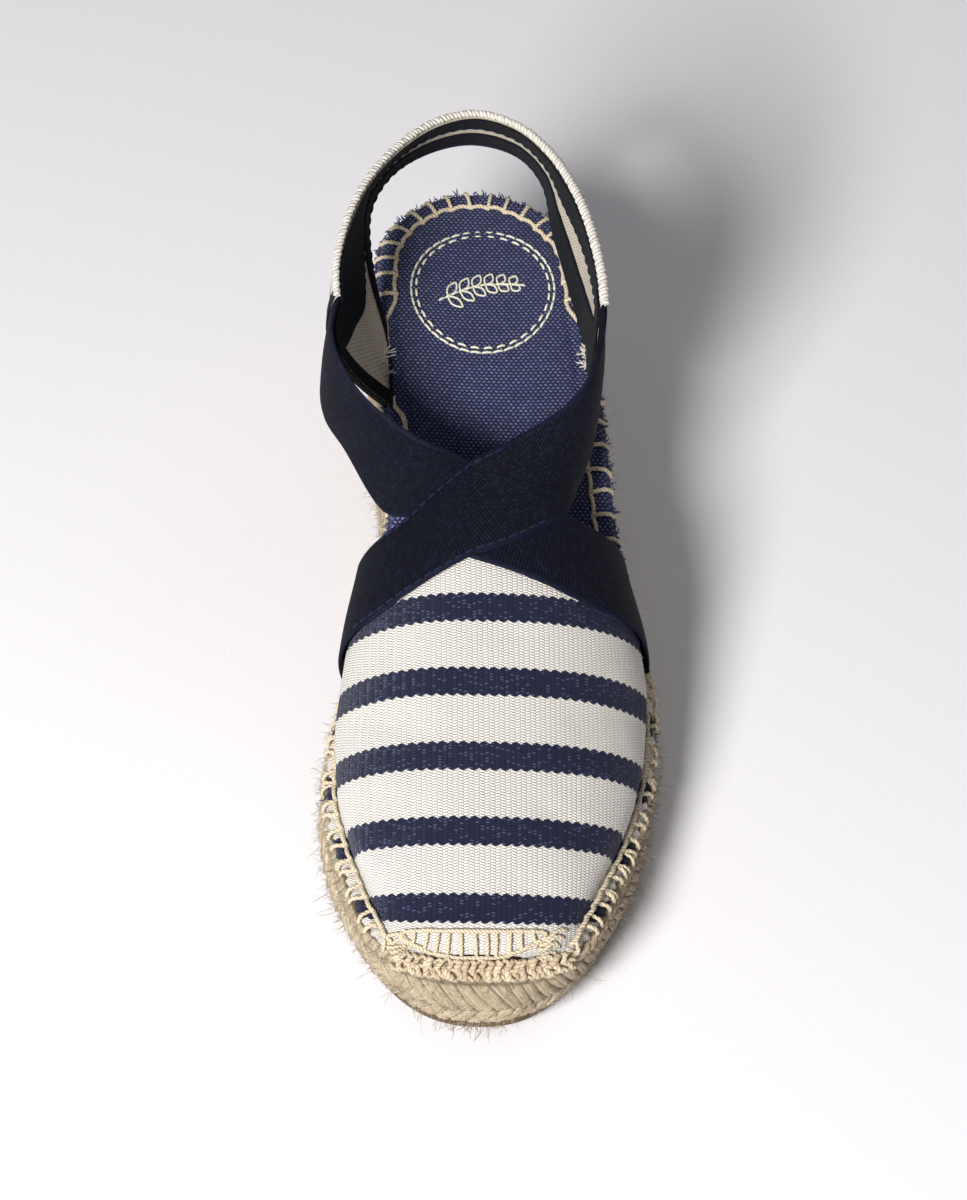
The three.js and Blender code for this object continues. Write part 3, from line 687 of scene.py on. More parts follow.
def jute(name):
    """Bundles of bast fibre: straw tones streaked along each strand, with painted shade darkening the
    grooves between strands.
    """
    m = Shader(name, 0.82, sheen=0.1, specular=0.2)
    along, across, lift, _ = m.attribute("strand")
    streak = m.noise(m.vector(m.times(along, 0.10), m.times(across, 1.3), 0.0), 1.0, 5.0, 0.7)
    fine = m.noise(m.vector(m.times(along, 0.22), m.times(across, 3.4), 0.0), 1.0, 4.0, 0.75)
    patch = m.noise(m.place(), 70.0, 3.0)
    base = m.blend(m.spread(streak, 0.3, 0.7), colour(192, 169, 134), colour(238, 221, 192))
    base = m.blend(m.spread(fine, 0.5, 0.8, 0.0, 0.8), base, colour(244, 234, 208))
    base = m.blend(m.spread(fine, 0.42, 0.25, 0.0, 0.8), base, colour(146, 124, 94))
    base = m.blend(m.spread(patch, 0.4, 0.8, 0.0, 0.4), base, colour(208, 190, 156))
    # painted shade: darker brown where the strand's lift is low, in the grooves between strands
    base = m.blend(m.spread(lift, 0.45, 0.0, 0.0, 0.6), base, colour(104, 82, 56))
    rise = m.plus(m.times(streak, 0.8), fine)
    return m.finish(base, rise, 1.2)


def sewing_thread(name, low, high, depth=0.16):
    """Twisted two-ply yarn; the third number of its attribute darkens it."""
    m = Shader(name, 0.8, sheen=0.1, specular=0.2)
    run, turn, tone, _ = m.attribute("thread")
    wind = m.plus(m.times(turn, 2 * math.pi), m.times(run, -math.pi / 1.1))
    ply = m.math("ABSOLUTE", m.math("COSINE", wind))
    fibre = m.noise(m.vector(m.times(run, 2.0), m.times(turn, 9.0), tone), 1.5, 4.0)
    base = m.blend(m.spread(ply, 0.0, 0.5), low, high)
    base = m.blend(m.times(tone, 0.35), base, colour(150, 120, 90))
    base = m.blend(m.spread(fibre, 0.55, 0.8, 0.0, 0.35), base, low)
    return m.finish(base, m.plus(ply, m.times(fibre, 0.8)), depth)


def fringe_thread(name):
    """Loose yarn ends; the tone runs from off-white (0) over navy (1) to indigo (2)."""
    m = Shader(name, 0.85, sheen=0.2, specular=0.15)
    run, turn, tone, _ = m.attribute("thread")
    navy = m.blend(m.spread(tone, 1.2, 1.8), colour(24, 28, 62), colour(66, 72, 124))
    base = m.blend(m.spread(tone, 0.2, 0.8), colour(232, 225, 212), navy)
    fibre = m.noise(m.vector(m.times(run, 3.0), m.times(turn, 4.0), tone), 2.0, 3.0)
    return m.finish(m.blend(m.times(fibre, 0.3), base, colour(150, 150, 165)), fibre, 0.1)


def tape(name):
    """Narrow cotton tape with a fine twill."""
    m = Shader(name, 0.8, sheen=0.03, specular=0.15)
    u, v, _, _ = m.attribute("cloth")
    twill = m.math("ABSOLUTE", m.math("SINE", m.times(m.plus(u, v), math.pi / 0.8)))
    cross = m.math("ABSOLUTE", m.math("SINE", m.times(m.math("SUBTRACT", u, v), math.pi / 0.5)))
    height = m.plus(twill, m.times(cross, 0.4))
    base = m.blend(m.spread(height, 0.2, 1.3), colour(6, 7, 13), colour(15, 17, 28))
    return m.finish(base, height, 0.14)


def rubber(name):
    """Moulded brown rubber with a fine pebbled grain, scuffed paler at the edge."""
    m = Shader(name, 0.7, specular=0.35)
    grain = m.noise(m.place(), 1600.0, 3.0)
    worn = m.noise(m.place(), 90.0, 4.0)
    base = m.blend(m.spread(worn, 0.4, 0.75), colour(92, 72, 54), colour(124, 101, 78))
    ribs = m.node("ShaderNodeSeparateXYZ", {0: m.place()}).outputs[1]
    ribs = m.math("ABSOLUTE", m.math("SINE", m.times(ribs, math.pi / (2.4 * MM))))
    return m.finish(base, m.plus(m.times(grain, 0.5), ribs), 0.3,
                    rough=m.spread(worn, 0.3, 0.8, 0.6, 0.82))


def floor_paper(name):
    """Matt white studio paper."""
    m = Shader(name, 0.9, specular=0.1)
    grain = m.noise(m.place(), 6.0, 3.0)
    base = m.blend(m.times(grain, 0.2), colour(246, 244, 247), colour(241, 239, 243))
    return m.finish(base, m.noise(m.place(), 700.0, 2.0), 0.05)


STRIPES = striped_canvas("striped_canvas")
LINING = plain_canvas("lining_canvas", colour(188, 176, 156), colour(222, 212, 194),
                      colour(234, 226, 210), 0.9, 0.9, 0.16)
INDIGO = plain_canvas("indigo_canvas", colour(28, 30, 54), colour(80, 85, 130),
                      colour(142, 148, 188), 0.95, 1.4, 0.36, share=0.6)
ELASTIC = elastic("navy_elastic")
TAPE = tape("navy_tape")
JUTE = jute("jute_braid")
JUTE_THREAD = sewing_thread("jute_thread", colour(160, 142, 112), colour(224, 209, 182))
COTTON_THREAD = sewing_thread("cotton_thread", colour(190, 188, 150), colour(236, 234, 214), 0.08)
NAVY_THREAD = sewing_thread("navy_thread", colour(9, 11, 25), colour(28, 34, 66), 0.05)
EDGE_CORD = sewing_thread("edge_cord", colour(186, 179, 168), colour(232, 227, 218), 0.25)
FRINGE = fringe_thread("yarn_ends")
RUBBER_SOLE = rubber("brown_rubber")
PAPER = floor_paper("floor_paper")


# ------------------------------------------------------------------ sole
def make_outsole():
    """Thin rubber sole with softened edges."""
    columns = 420
    profile = [(0.0, 1.2, 1.2), (0.0, 0.35, 0.35), (0.18, 0.0, 0.0), (0.5, 0.0, 0.0),
               (0.82, 0.0, 0.0), (1.0, 0.3, 0.3)]   # level, inset of the side, inset of the tip
    rings = []
    for level, inset, tip in profile:
        share = -(RUBBER_INSET + inset) / sole_bulge(0.0)
        plan = outline(share, toe_between(0, -TOE_OVERHANG * 0.85 + tip), columns)
        z = spring(plan[:, 1]) + RUBBER * level
        rings.append(np.column_stack([plan, z]))
    parts = Parts()
    parts.solid(np.array(rings))
    parts.build("rubber_outsole", [RUBBER_SOLE], ["outsole"])


def braid(s, height, row, pitch, lean, half_offset=0.5):
    """Chevron plait along s. height runs from 0 to row across it. Returns the strands' lift
    from 0 to 1 and their coordinates along and across each strand."""
    share = height / row
    t = np.where(share < BRAID_MIDDLE, share / BRAID_MIDDLE - 1,
                 (share - BRAID_MIDDLE) / (1 - BRAID_MIDDLE))
    upper = t > 0
    phase = (s + lean * np.abs(t)) / pitch + half_offset * upper
    number = np.floor(phase)
    inside = phase - number
    plies = 1 - np.abs(2 * np.mod(2 * inside, 1) - 1) ** 2
    vary = 0.86 + 0.28 * np.mod(np.abs(np.sin(12.9898 * number + 4.1 * upper)) * 437.58, 1)
    bundle = (1 - np.abs(2 * inside - 1) ** 2.3) ** 0.55 * (0.82 + 0.18 * inside)
    bundle *= vary * (0.56 + 0.44 * plies ** 0.5)
    rounded = np.clip(1 - np.abs(t) ** 3.2, 0, 1) ** 0.5
    dip = 0.62 + 0.38 * smoothstep(0.0, 0.34, np.abs(t))
    half = row / 2
    along = np.abs(t) * np.hypot(half, lean)
    across = (inside - 0.5) * pitch * half / np.hypot(half, lean)
    return bundle * rounded * dip, along + 31 * number, across + 17 * number + 7 * upper


def jute_wall(levels, columns):
    """Grid of the plain wall of the wedge, from the rubber up to the cloth edge."""
    rings = []
    for level in np.linspace(0, 1, levels):
        toe = toe_between(wall_toe(level), -TOE_OVERHANG * wall_overhang(level))
        plan = outline(wall_share(level), toe, columns)
        bottom = spring(plan[:, 1]) + RUBBER + GAP
        rings.append(np.column_stack([plan, lerp(bottom, sole_top(plan[:, 1]), level)]))
    return np.array(rings)


def rim_strand(s, below_top, pitch, length):
    """Slanted strand along the top edge, as braid() gives its plaits."""
    phase = (s + 0.5 * below_top) / pitch + 0.06 * wander(s, length, range(20, 90, 7), 8)
    number = np.floor(phase)
    inside = phase - number
    edge = np.clip(1 - np.abs(2 * np.clip(below_top / RIM_ROW, 0, 1) - 1) ** 3, 0, 1) ** 0.5
    lift = (1 - np.abs(2 * inside - 1) ** 2.4) ** 0.5 * edge
    return lift, below_top + 31 * number, (inside - 0.5) * RIM_PITCH + 17 * number


def make_jute():
    """Braided jute wall: one tall plait round the bottom, lower rows in the wedge, and a
    slanted strand along the top edge."""
    columns, levels = 1040, 84
    points = jute_wall(levels, columns)
    outward = facing(grid_normals(points, wrap=True), points * (1, 1, 0))
    run = lengths(closed(points[levels // 2]))
    length = run[-1]
    s = np.broadcast_to(run[:-1], (levels, columns))
    bottom = spring(points[..., 1]) + RUBBER + GAP
    height = points[..., 2] - bottom
    total = sole_top(points[..., 1]) - bottom

    def whole(pitch):
        return length / round(length / pitch)

    base_row = np.minimum(BASE_ROW, np.maximum(total - RIM_ROW, 4.0))
    uneven = s + 0.9 * wander(s, length, range(9, 40, 3), 3)
    low = braid(uneven, np.minimum(height, base_row), base_row, whole(BASE_PITCH), 5.8)
    above = height - base_row
    row_number = np.floor(above / BRAID_ROW)
    shift = s + 0.7 * wander(s, length, range(11, 50, 4), 5) + 2.3 * row_number
    high = braid(shift, above - row_number * BRAID_ROW, BRAID_ROW, whole(BRAID_PITCH), 4.4)
    top = rim_strand(s, total - height, whole(RIM_PITCH), length)
    lower = height <= base_row
    in_rim = total - height < RIM_ROW
    lift, along, across = (np.where(in_rim, c, np.where(lower, a, b))
                           for a, b, c in zip(low, high, top))
    lift = np.where(in_rim, lift, lift * smoothstep(0.0, 1.6, total - height - RIM_ROW))
    depth = np.where(in_rim, 1.0, np.where(lower, 2.0, 1.7))
    depth = depth + 0.2 * wander(s + 3 * height, length, range(60, 200, 13), 9)
    out = (lift * depth - 0.9) * smoothstep(-0.01, 0.02, np.linspace(0, 1, levels))[:, None]
    points = points + outward * out[..., None]
    parts = Parts()
    parts.solid(points, strand=closed(vectors(along, across, lift), axis=1))
    parts.build("jute_wedge", [JUTE], ["jute_sole"])
    return points[3:-3].reshape(-1, 3), outward[3:-3].reshape(-1, 3)


def insole_height(inset):
    """Height of the insole's face above the sole's top, by distance inside the cloth edge."""
    dent = 0.45 * np.exp(-((inset - STITCH_INSET) / 1.1) ** 2)
    rolled = -2.6 * smoothstep(1.3, -0.5, inset) ** 1.3
    dish = -0.9 * smoothstep(8, 26, inset)
    return GAP + INSOLE + 0.35 + rolled + dish - dent


def make_insole():
    """Indigo canvas over the whole sole, wrapped down over the edge behind the vamp."""
    columns = 640
    s = np.arange(columns) * RIM_LENGTH / columns
    plan, out = rim(s)
    y = plan[:, 1]
    spine_y = np.clip(y, -88, 88)
    spine = np.column_stack([lerp(TOE_AXIS_X, HEEL_AXIS_X, (spine_y + 88) / 176), spine_y])
    hidden = smoothstep(-6, -17, y)
    inset_steps = np.concatenate([[-0.5, -0.5, -0.35, 0.0, 0.6, 1.4, 2.4, 3.4, 4.3, 4.9, 5.3, 5.7,
                                   6.1, 6.5, 7.2, 8.2], np.linspace(9.5, 33, 18)])
    depth = np.linalg.norm(spine - plan, axis=1)
    rows = []
    for k, inset in enumerate(inset_steps):
        moved = lerp(inset, np.maximum(inset, 4.4 + 0.03 * k), hidden)
        moved = np.minimum(moved, depth - 0.4 - 0.02 * (len(inset_steps) - k))
        toward = unit(spine - plan)
        share = smoothstep(4.0, 14.0, moved)[:, None]
        direction = unit(lerp(-out, toward, share))
        place = plan + direction * moved[:, None]
        z = sole_top(place[:, 1]) + insole_height(moved)
        puff = 0.16 * wander(s, RIM_LENGTH, range(30, 120, 7), 21) * smoothstep(3, 0, np.abs(moved - 2))
        if k == 0:
            z = z - 1.9
        rows.append(np.column_stack([place, z + puff]))
    points = np.array(rows)
    parts = Parts()
    parts.solid(points, cloth=closed(points, axis=1))
    parts.build("insole_canvas", [INDIGO], ["insole"])


# ------------------------------------------------------------------ vamp
def crown_run():
    """Length along the crown as a function of y, from the middle of the first stripe."""
    y = np.linspace(-140, 30, 800)
    run = lengths(np.column_stack([y, form_crown(y)]))
    run -= np.interp(STRIPE_ORIGIN_Y, y, run)
    return lambda value: np.interp(value, y, run)


stripe_run = crown_run()


def stripe_place(x, y, rise=0.0):
    """Distance of a point of the vamp along the cloth, in which the stripes repeat. rise is
    the point's share of the crown's height."""
    lateral = (x - form_ridge(y)) / 44.0
    return stripe_run(y - STRIPE_BOW[0] * lateral ** 2 - STRIPE_BOW[1] * (1 - rise) ** 2)


def vamp_surface():
    """Outer face of the vamp as a grid from toe to throat and from the inner flange over the
    crown to the outer one, with the distance along the edge for each point."""
    rows, wall = 190, 74
    front = TOE_Y + VAMP_INSET + 0.3
    share = 1 - np.cos(np.linspace(0, np.pi / 2, rows))
    sides = []
    for side in ("medial", "lateral"):
        y_side = lerp(front, THROAT_SIDE_Y, share)
        crown = form_crown(y_side) - sole_top(y_side) - SEAT_GAP
        exponent = 2 / form_square(y_side)
        low = np.minimum(seam_rise(y_side), 0.3 * crown)
        first = np.arcsin((low / crown) ** (1 / exponent)) / np.pi
        columns = (np.arange(wall) / (wall - 1)) ** 1.6
        turn = first[:, None] + (0.5 - first[:, None]) * columns[None]
        throat = THROAT_SIDE_Y + THROAT_RISE_Y * np.sin(np.pi * turn)
        y = front + (throat - front) * share[:, None]
        if side == "lateral":
            turn = 1 - turn
        points = surface_point(y, turn)
        height = points[..., 2] - sole_top(y) - SEAT_GAP
        inset = seam_inset(y[:, :1])
        seam_x = edge_x(side, y[:, :1], inset, toe_between(1, inset))
        reach = np.minimum(11.0, 0.85 * crown)[:, None]
        fade = 1 - smoothstep(0, 1, (height - height[:, :1]) / reach)
        points[..., 0] += (seam_x - points[:, :1, 0]) * fade
        lip = seam_lip(y[:, :1])
        outer_x = edge_x(side, y[:, :1], lip, toe_between(1, lip))
        g = np.linspace(0, 1, FLANGE + 1)[:-1][None]
        lip_x = lerp(outer_x, points[:, :1, 0], g)
        lip_z = np.interp(g[0], [0, 0.2, 0.5, 0.85, 1], [-1.5, 0.7, 1.45, 1.5, 1.9])[None]
        lip_z = lip_z * np.minimum(1, low[:, None] / 1.6) + sole_top(y[:, :1])
        sides.append(np.concatenate([vectors(lip_x, y[:, :1], lip_z), points], axis=1))
    inner, outer = sides
    return np.concatenate([inner, outer[:, -2::-1]], axis=1)


def crease_offset(x, y):
    """Height of the listed soft troughs and ridges at a point of the vamp."""
    total = np.zeros(np.shape(x))
    for x0, y0, x1, y1, width, depth in CREASES:
        along = np.array([x1 - x0, y1 - y0])
        share = ((x - x0) * along[0] + (y - y0) * along[1]) / (along @ along)
        near = np.clip(share, 0, 1)
        away = np.hypot(x - x0 - near * along[0], y - y0 - near * along[1])
        total += depth * np.exp(-(away / width) ** 2)
    return total


def make_vamp():
    """Striped canvas with its lining, drawn in at the seam and flared over the jute."""
    grid = vamp_surface()
    columns = grid.shape[1]
    normals = facing(grid_normals(grid), (0, 0, 1))
    run = lengths(grid)
    j = np.arange(columns)
    from_edge = np.minimum(j, columns - 1 - j)
    above = np.clip(from_edge - FLANGE, 0, None)
    height = grid[..., 2] - sole_top(grid[..., 1])
    edge_run = np.where(j[None] < columns // 2, run[:, FLANGE:FLANGE + 1],
                        run[:, -FLANGE - 1:columns - FLANGE])
    pucker = -0.30 * (0.5 + 0.5 * np.cos(2 * np.pi * edge_run / VAMP_STITCH_PITCH))
    pucker = pucker * np.exp(-(height / 4.5) ** 2) * (above > 0)
    lip = (from_edge < FLANGE) * (1 - from_edge / FLANGE)
    flare = lip * (0.45 * np.cos(2 * np.pi * (edge_run / VAMP_STITCH_PITCH + 0.5))
                   + 0.25 * np.sin(edge_run * 2.1) + 0.2 * np.sin(edge_run * 0.9))
    lift = pucker + crease_offset(grid[..., 0], grid[..., 1]) * (above > 6) + flare
    outer = grid + normals * lift[..., None]
    u = lengths(outer.swapaxes(0, 1)).T
    u = u - u[:, columns // 2][:, None]
    crown = form_crown(grid[..., 1]) - sole_top(grid[..., 1])
    v = stripe_place(grid[..., 0], grid[..., 1], np.clip(height / crown, 0, 1))
    inner = outer - normals * VAMP_WALL
    parts = Parts()
    parts.shell(outer[:, ::-1], inner[:, ::-1], (0, 1, 2), cloth=vectors(u, v, 0.0)[:, ::-1])
    parts.build("vamp_canvas", [STRIPES, LINING, STRIPES], ["vamp"])
    return outer


# ------------------------------------------------------------------ ribbons
FORM_STEPS = 14
FREE_STEPS = 16
RIBBON_COLUMNS = 30
BAND_LAST = len(BAND_ROWS["bulge"]) - 1   # last row of the heel band
RIBBON_SHARES = lerp(np.linspace(0, 1, RIBBON_COLUMNS + 1),
                     (1 - np.cos(np.linspace(0, np.pi, RIBBON_COLUMNS + 1))) / 2, 0.6)


def band_point(row, share):
    """Middle surface of the heel band: row counts sections, share runs from top to bottom."""
    seated = BAND_ROWS["low_z"] == 0
    low_z = np.where(seated, sole_top(BAND_ROWS["low_y"]) + GAP + BAND / 2, BAND_ROWS["low_z"])
    top = np.column_stack([BAND_ROWS[k] for k in ("top_x", "top_y", "top_z")])[:, None]
    low = np.column_stack([BAND_ROWS["low_x"], BAND_ROWS["low_y"], low_z])[:, None]
    rows = np.atleast_1d(np.asarray(row, float))
    last = len(low_z) - 1
    tops, lows = through(top, rows), through(low, rows)
    ahead, behind = through(top, np.minimum(rows + 0.02, last)), through(top, np.maximum(rows - 0.02, 0))
    tangent = unit(ahead - behind)
    outward = unit(np.stack([-tangent[..., 1], tangent[..., 0], 0 * tangent[..., 0]], -1))
    numbered = {"row": np.arange(last + 1.0), "bulge": BAND_ROWS["bulge"]}
    bulge = smooth_curve(numbered, "row", "bulge")(rows)[:, None, None]
    share = np.broadcast_to(share, (len(rows), np.shape(share)[-1]))[..., None]
    return tops + (lows - tops) * share + outward * 4 * bulge * share * (1 - share)


def ribbon_middle(on_form, free, end_row):
    """Middle surface of a ribbon, from the sole's edge to the front edge of the heel band."""
    rows = len(on_form["back_y"])
    numbered = dict(on_form, row=np.arange(float(rows)))
    places = np.linspace(0, rows - 1, (rows - 1) * FORM_STEPS + 1)
    names = ("back_turn", "back_y", "back_lift", "front_turn", "front_y", "front_lift")
    values = [smooth_curve(numbered, "row", name)(places)[:, None] for name in names]
    shares = RIBBON_SHARES[None]
    turn, y, lift = (lerp(values[k], values[k + 3], shares) for k in range(3))
    laid = form_point(y, turn, lift + RIBBON / 2)
    lines = [laid[-1 - FORM_STEPS], laid[-1]]
    for back, front in free:
        back, front = np.array(back, float), np.array(front, float)
        middle = np.array([HEEL_AXIS_X, back[1], (back[2] + front[2]) / 2])
        outward = unit((back + front) / 2 - middle)
        share = RIBBON_SHARES[:, None]
        lines.append(back + (front - back) * share + outward * 4 * RIBBON_BOW * share * (1 - share))
    ends = band_point(end_row, np.array([0.0, 1.0]))[0]
    tall = np.linalg.norm(ends[1] - ends[0])
    end = band_point(end_row, RIBBON_SHARES * RIBBON_WIDTH / tall)[0]
    lines.append(end + (0, 0.4, 0))
    spans = len(lines) - 1
    swept = through(lines, np.linspace(1, spans, (spans - 1) * FREE_STEPS + 1)[1:])
    return np.concatenate([laid, swept])


def ribbon_cloth(middle):
    """Unit normals, half thickness and cloth coordinates of a ribbon."""
    normals = facing(grid_normals(middle), middle - (HEEL_AXIS_X, 0, 45.0))
    off = np.abs(2 * RIBBON_SHARES - 1)
    half = RIBBON / 2 * (1 - off ** 14) ** 0.5 * (1 + 0.14 * smoothstep(0.86, 0.93, off))
    along = lengths(middle).mean(axis=1)
    across = (RIBBON_SHARES - 0.5) * RIBBON_WIDTH
    return normals, half, vectors(along[:, None], across[None], 0.0)


def make_ribbons():
    """The two crossed ribbons, joined in one piece, and the stitches that join them."""
    parts = Parts()
    sewing = Parts()
    for on_form, free, end_row in ((LOWER_ON_FORM, LOWER_FREE, 0), (UPPER_ON_FORM, UPPER_FREE, BAND_LAST)):
        middle = ribbon_middle(on_form, free, end_row)
        normals, half, facts = ribbon_cloth(middle)
        outer = parts.sheet(middle, normals, half, ribbon=facts)
        if on_form is UPPER_ON_FORM:
            crossing = slice(int(1.7 * FORM_STEPS), int(4.9 * FORM_STEPS))
            for column in (3, RIBBON_COLUMNS - 3):
                up = normals[crossing, column]
                sew_line(sewing, outer[crossing, column] + up * 0.02, 2.3, 0.9, 0.26, up)
    parts.build("crossed_ribbons", [ELASTIC], ["cross_straps"])
    sewing.build("ribbon_stitches", [NAVY_THREAD])


def sew_line(parts, line, length, space, radius, normals):
    """Running stitch along a line: short threads that dip into the cloth at both ends."""
    run = lengths(line)
    hump = radius * (1.1 * np.sin(np.linspace(0, np.pi, 7))[:, None] - 0.35)
    for start in np.arange(0, run[-1] - length, length + space):
        at = start + np.linspace(0, length, 7)
        parts.tube(at_length(at, run, line) + at_length(at, run, normals) * hump, radius)


# ------------------------------------------------------------------ heel band
def band_grid(rows, shares):
    """Middle surface and outward normals of the heel band."""
    middle = band_point(rows, shares)
    return middle, facing(grid_normals(middle), middle - (HEEL_AXIS_X, 60.0, 95.0))


def band_cloth(middle):
    """Distances along and down a grid of points."""
    return lengths(middle[:, 0])[:, None], lengths(middle.swapaxes(0, 1)).T


def make_heel_band():
    """Two layers of canvas: striped outside, cream lining inside."""
    rows = np.linspace(0, BAND_LAST, BAND_LAST * 14 + 1)
    shares = np.linspace(0, 1, 34)
    middle, normals = band_grid(rows, shares)
    along, down = band_cloth(middle)
    crumple = 0.22 * np.sin(along * 0.9 + down * 0.5) * np.exp(-((shares[None] - 0.9) / 0.25) ** 2)
    middle = middle + normals * crumple[..., None]
    half = (BAND / 2 - 0.1) * (1 - np.abs(2 * shares - 1) ** 18) ** 0.5
    cloth = vectors(along, down - WHITE_EDGE - STRIPE_WIDTH / 2, 0.0)
    parts = Parts()
    parts.sheet(middle, normals, np.maximum(half, 0.25), (0, 1, 2), cloth=cloth)
    parts.build("heel_band_canvas", [STRIPES, LINING, TAPE], ["heel_band"])


def strip_on_band(parts, rows, low_share, high_share, offset, thick, columns=9):
    """A tape on the band, between two shares of its height (functions of the row)."""
    across = np.linspace(0, 1, columns)
    middle = np.array([band_point(row, lerp(low_share(row), high_share(row), across))[0]
                       for row in rows])
    _, reference = band_grid(rows, np.linspace(0.02, 0.98, columns))
    normals = facing(grid_normals(middle), reference)
    half = (0.12 + 0.88 * (1 - np.abs(2 * across - 1) ** 6) ** 0.5) * thick / 2
    cloth = vectors(*band_cloth(middle), 0.0)
    parts.sheet(middle + normals * offset, normals, half, cloth=cloth)


BAND_LINES = np.linspace(0, BAND_LAST, BAND_LAST * 12 + 1)   # rows at which the trim is placed
BAND_ENDS = band_point(BAND_LINES, np.array([0.0, 1.0]))
BAND_HEIGHTS = np.linalg.norm(BAND_ENDS[:, 1] - BAND_ENDS[:, 0], axis=1)
BAND_INSIDE = -(BAND / 2 + 0.12)    # just inside the lining, from the band's middle surface
FRONT_TAPES = ((0.0, 0.3), (BAND_LAST - 0.6, BAND_LAST))   # rows covered at both front ends
tape_top, tape_low = (smooth_curve(BAND_TAPES, "row", k) for k in ("top", "low"))


def band_height(row):
    """Height of the heel band at a row, from its top edge to its lower one."""
    return float(np.interp(row, BAND_LINES, BAND_HEIGHTS))


def make_band_tapes():
    """Navy tapes sewn inside the band along both edges, and over both of its front ends."""
    tapes = Parts()
    strip_on_band(tapes, BAND_LINES, lambda r: -0.4 / band_height(r), tape_top, BAND_INSIDE, 0.55)
    strip_on_band(tapes, BAND_LINES, lambda r: 1 - tape_low(r), lambda r: 1.004, BAND_INSIDE, 0.55)
    for first, second in FRONT_TAPES:
        front = np.linspace(first, second, 16)
        for offset in (BAND_INSIDE - 0.35, BAND / 2 + 0.15):
            strip_on_band(tapes, front, lambda r: 0.0, lambda r: 0.995, offset, 0.5, 30)
    tapes.build("heel_band_tapes", [TAPE])


def make_band_cord():
    """Twisted cord along the top edge, thicker on the outer side."""
    cord = Parts()
    top, normals = band_grid(BAND_LINES, np.array([0.0, 0.03, 0.06]))
    fine = np.linspace(0, BAND_LAST, 1400)
    path = at_length(fine, BAND_LINES, top[:, 0] + normals[:, 0] * 0.55) + (0, 0, 0.25)
    uneven = 0.07 * wander(fine, BAND_LAST, range(9, 60, 6), 31)
    cord.tube(path, 0.95 + 0.4 * smoothstep(7, 11, fine) + uneven, 10, twist=1.9)
    cord.build("heel_band_edge_cord", [EDGE_CORD])


def make_band_stitches():
    """Running stitch along the upper tape and along the lower edge."""
    sewing = Parts()
    out = band_grid(BAND_LINES, np.array([0.4, 0.5, 0.6]))[1][:, 1]
    for share_at in (lambda r: tape_top(r) - 1.2 / band_height(r),
                     lambda r: 1 - 1.5 / band_height(r)):
        line = np.array([band_point(r, np.array([share_at(r)]))[0, 0] for r in BAND_LINES])
        sew_line(sewing, line + out * (BAND_INSIDE - 0.3), 2.2, 1.0, 0.2, -out)
    sewing.build("heel_band_stitches", [NAVY_THREAD])


# ------------------------------------------------------------------ sewing on the sole
def rim_line(s, outward, lift):
    """Points at lengths s, that far outside the cloth edge, lifted above the sole's top."""
    plan, _ = rim(s, outward)
    return np.column_stack([plan, sole_top(plan[:, 1]) + lift])


def rung(s, lean, outward, lift, count):
    """Smooth path across the edge through points that far outside it and above the sole,
    moved along the edge by lean from its first to its last point."""
    t = np.linspace(0, 1, len(lift))
    points = rim_line(s + lean * t, outward, lift)[:, None]
    return through(points, np.linspace(0, len(lift) - 1, count))[:, 0]


def under_wing(y, x):
    """1 where the heel band stands on the sole's edge, easing to 0 beside it."""
    front = np.where(x < 0, 46.0, 54.0)
    return smoothstep(front - 4, front + 3, y) * smoothstep(81, 74, y)


def make_blanket_stitch():
    """Jute thread along the insole: a line inside the edge that passes under the heel band,
    and rungs out over the edge."""
    parts = Parts()
    start, end = rim_place(6, "lateral"), RIM_LENGTH + rim_place(6, "medial")
    count = round((end - start) / STITCH_PITCH)
    stations = np.linspace(start, end, count + 1) + random.normal(0, 0.35, count + 1)
    for a, b in zip(stations[:-1], stations[1:]):
        t = np.linspace(0, 1, 15)
        s = lerp(a - 0.6, b + 0.6, t)
        plan = rim(s)[0]
        tucked = under_wing(plan[:, 1], plan[:, 0])
        outward = -STITCH_INSET + 0.45 * np.sin(np.pi * t) + random.normal(0, 0.2) + 3.4 * tucked
        lift = insole_height(-outward) + 0.4 * THREAD + 0.5 * np.sin(np.pi * t) - 0.1
        parts.tube(rim_line(s, outward, lift - 0.8 * tucked), THREAD, 8, twist=2.1)
    for s in stations:
        plan = rim(s)[0]
        if under_wing(plan[1], plan[0]) > 0.2:
            continue
        lean = random.normal(0.5, 0.6)
        path = rung(s, lean, RUNG["outward"], RUNG["lift"], 24)
        parts.tube(path, THREAD * random.uniform(0.85, 1.0), 8, twist=2.1)
    parts.build("insole_blanket_stitch", [JUTE_THREAD])


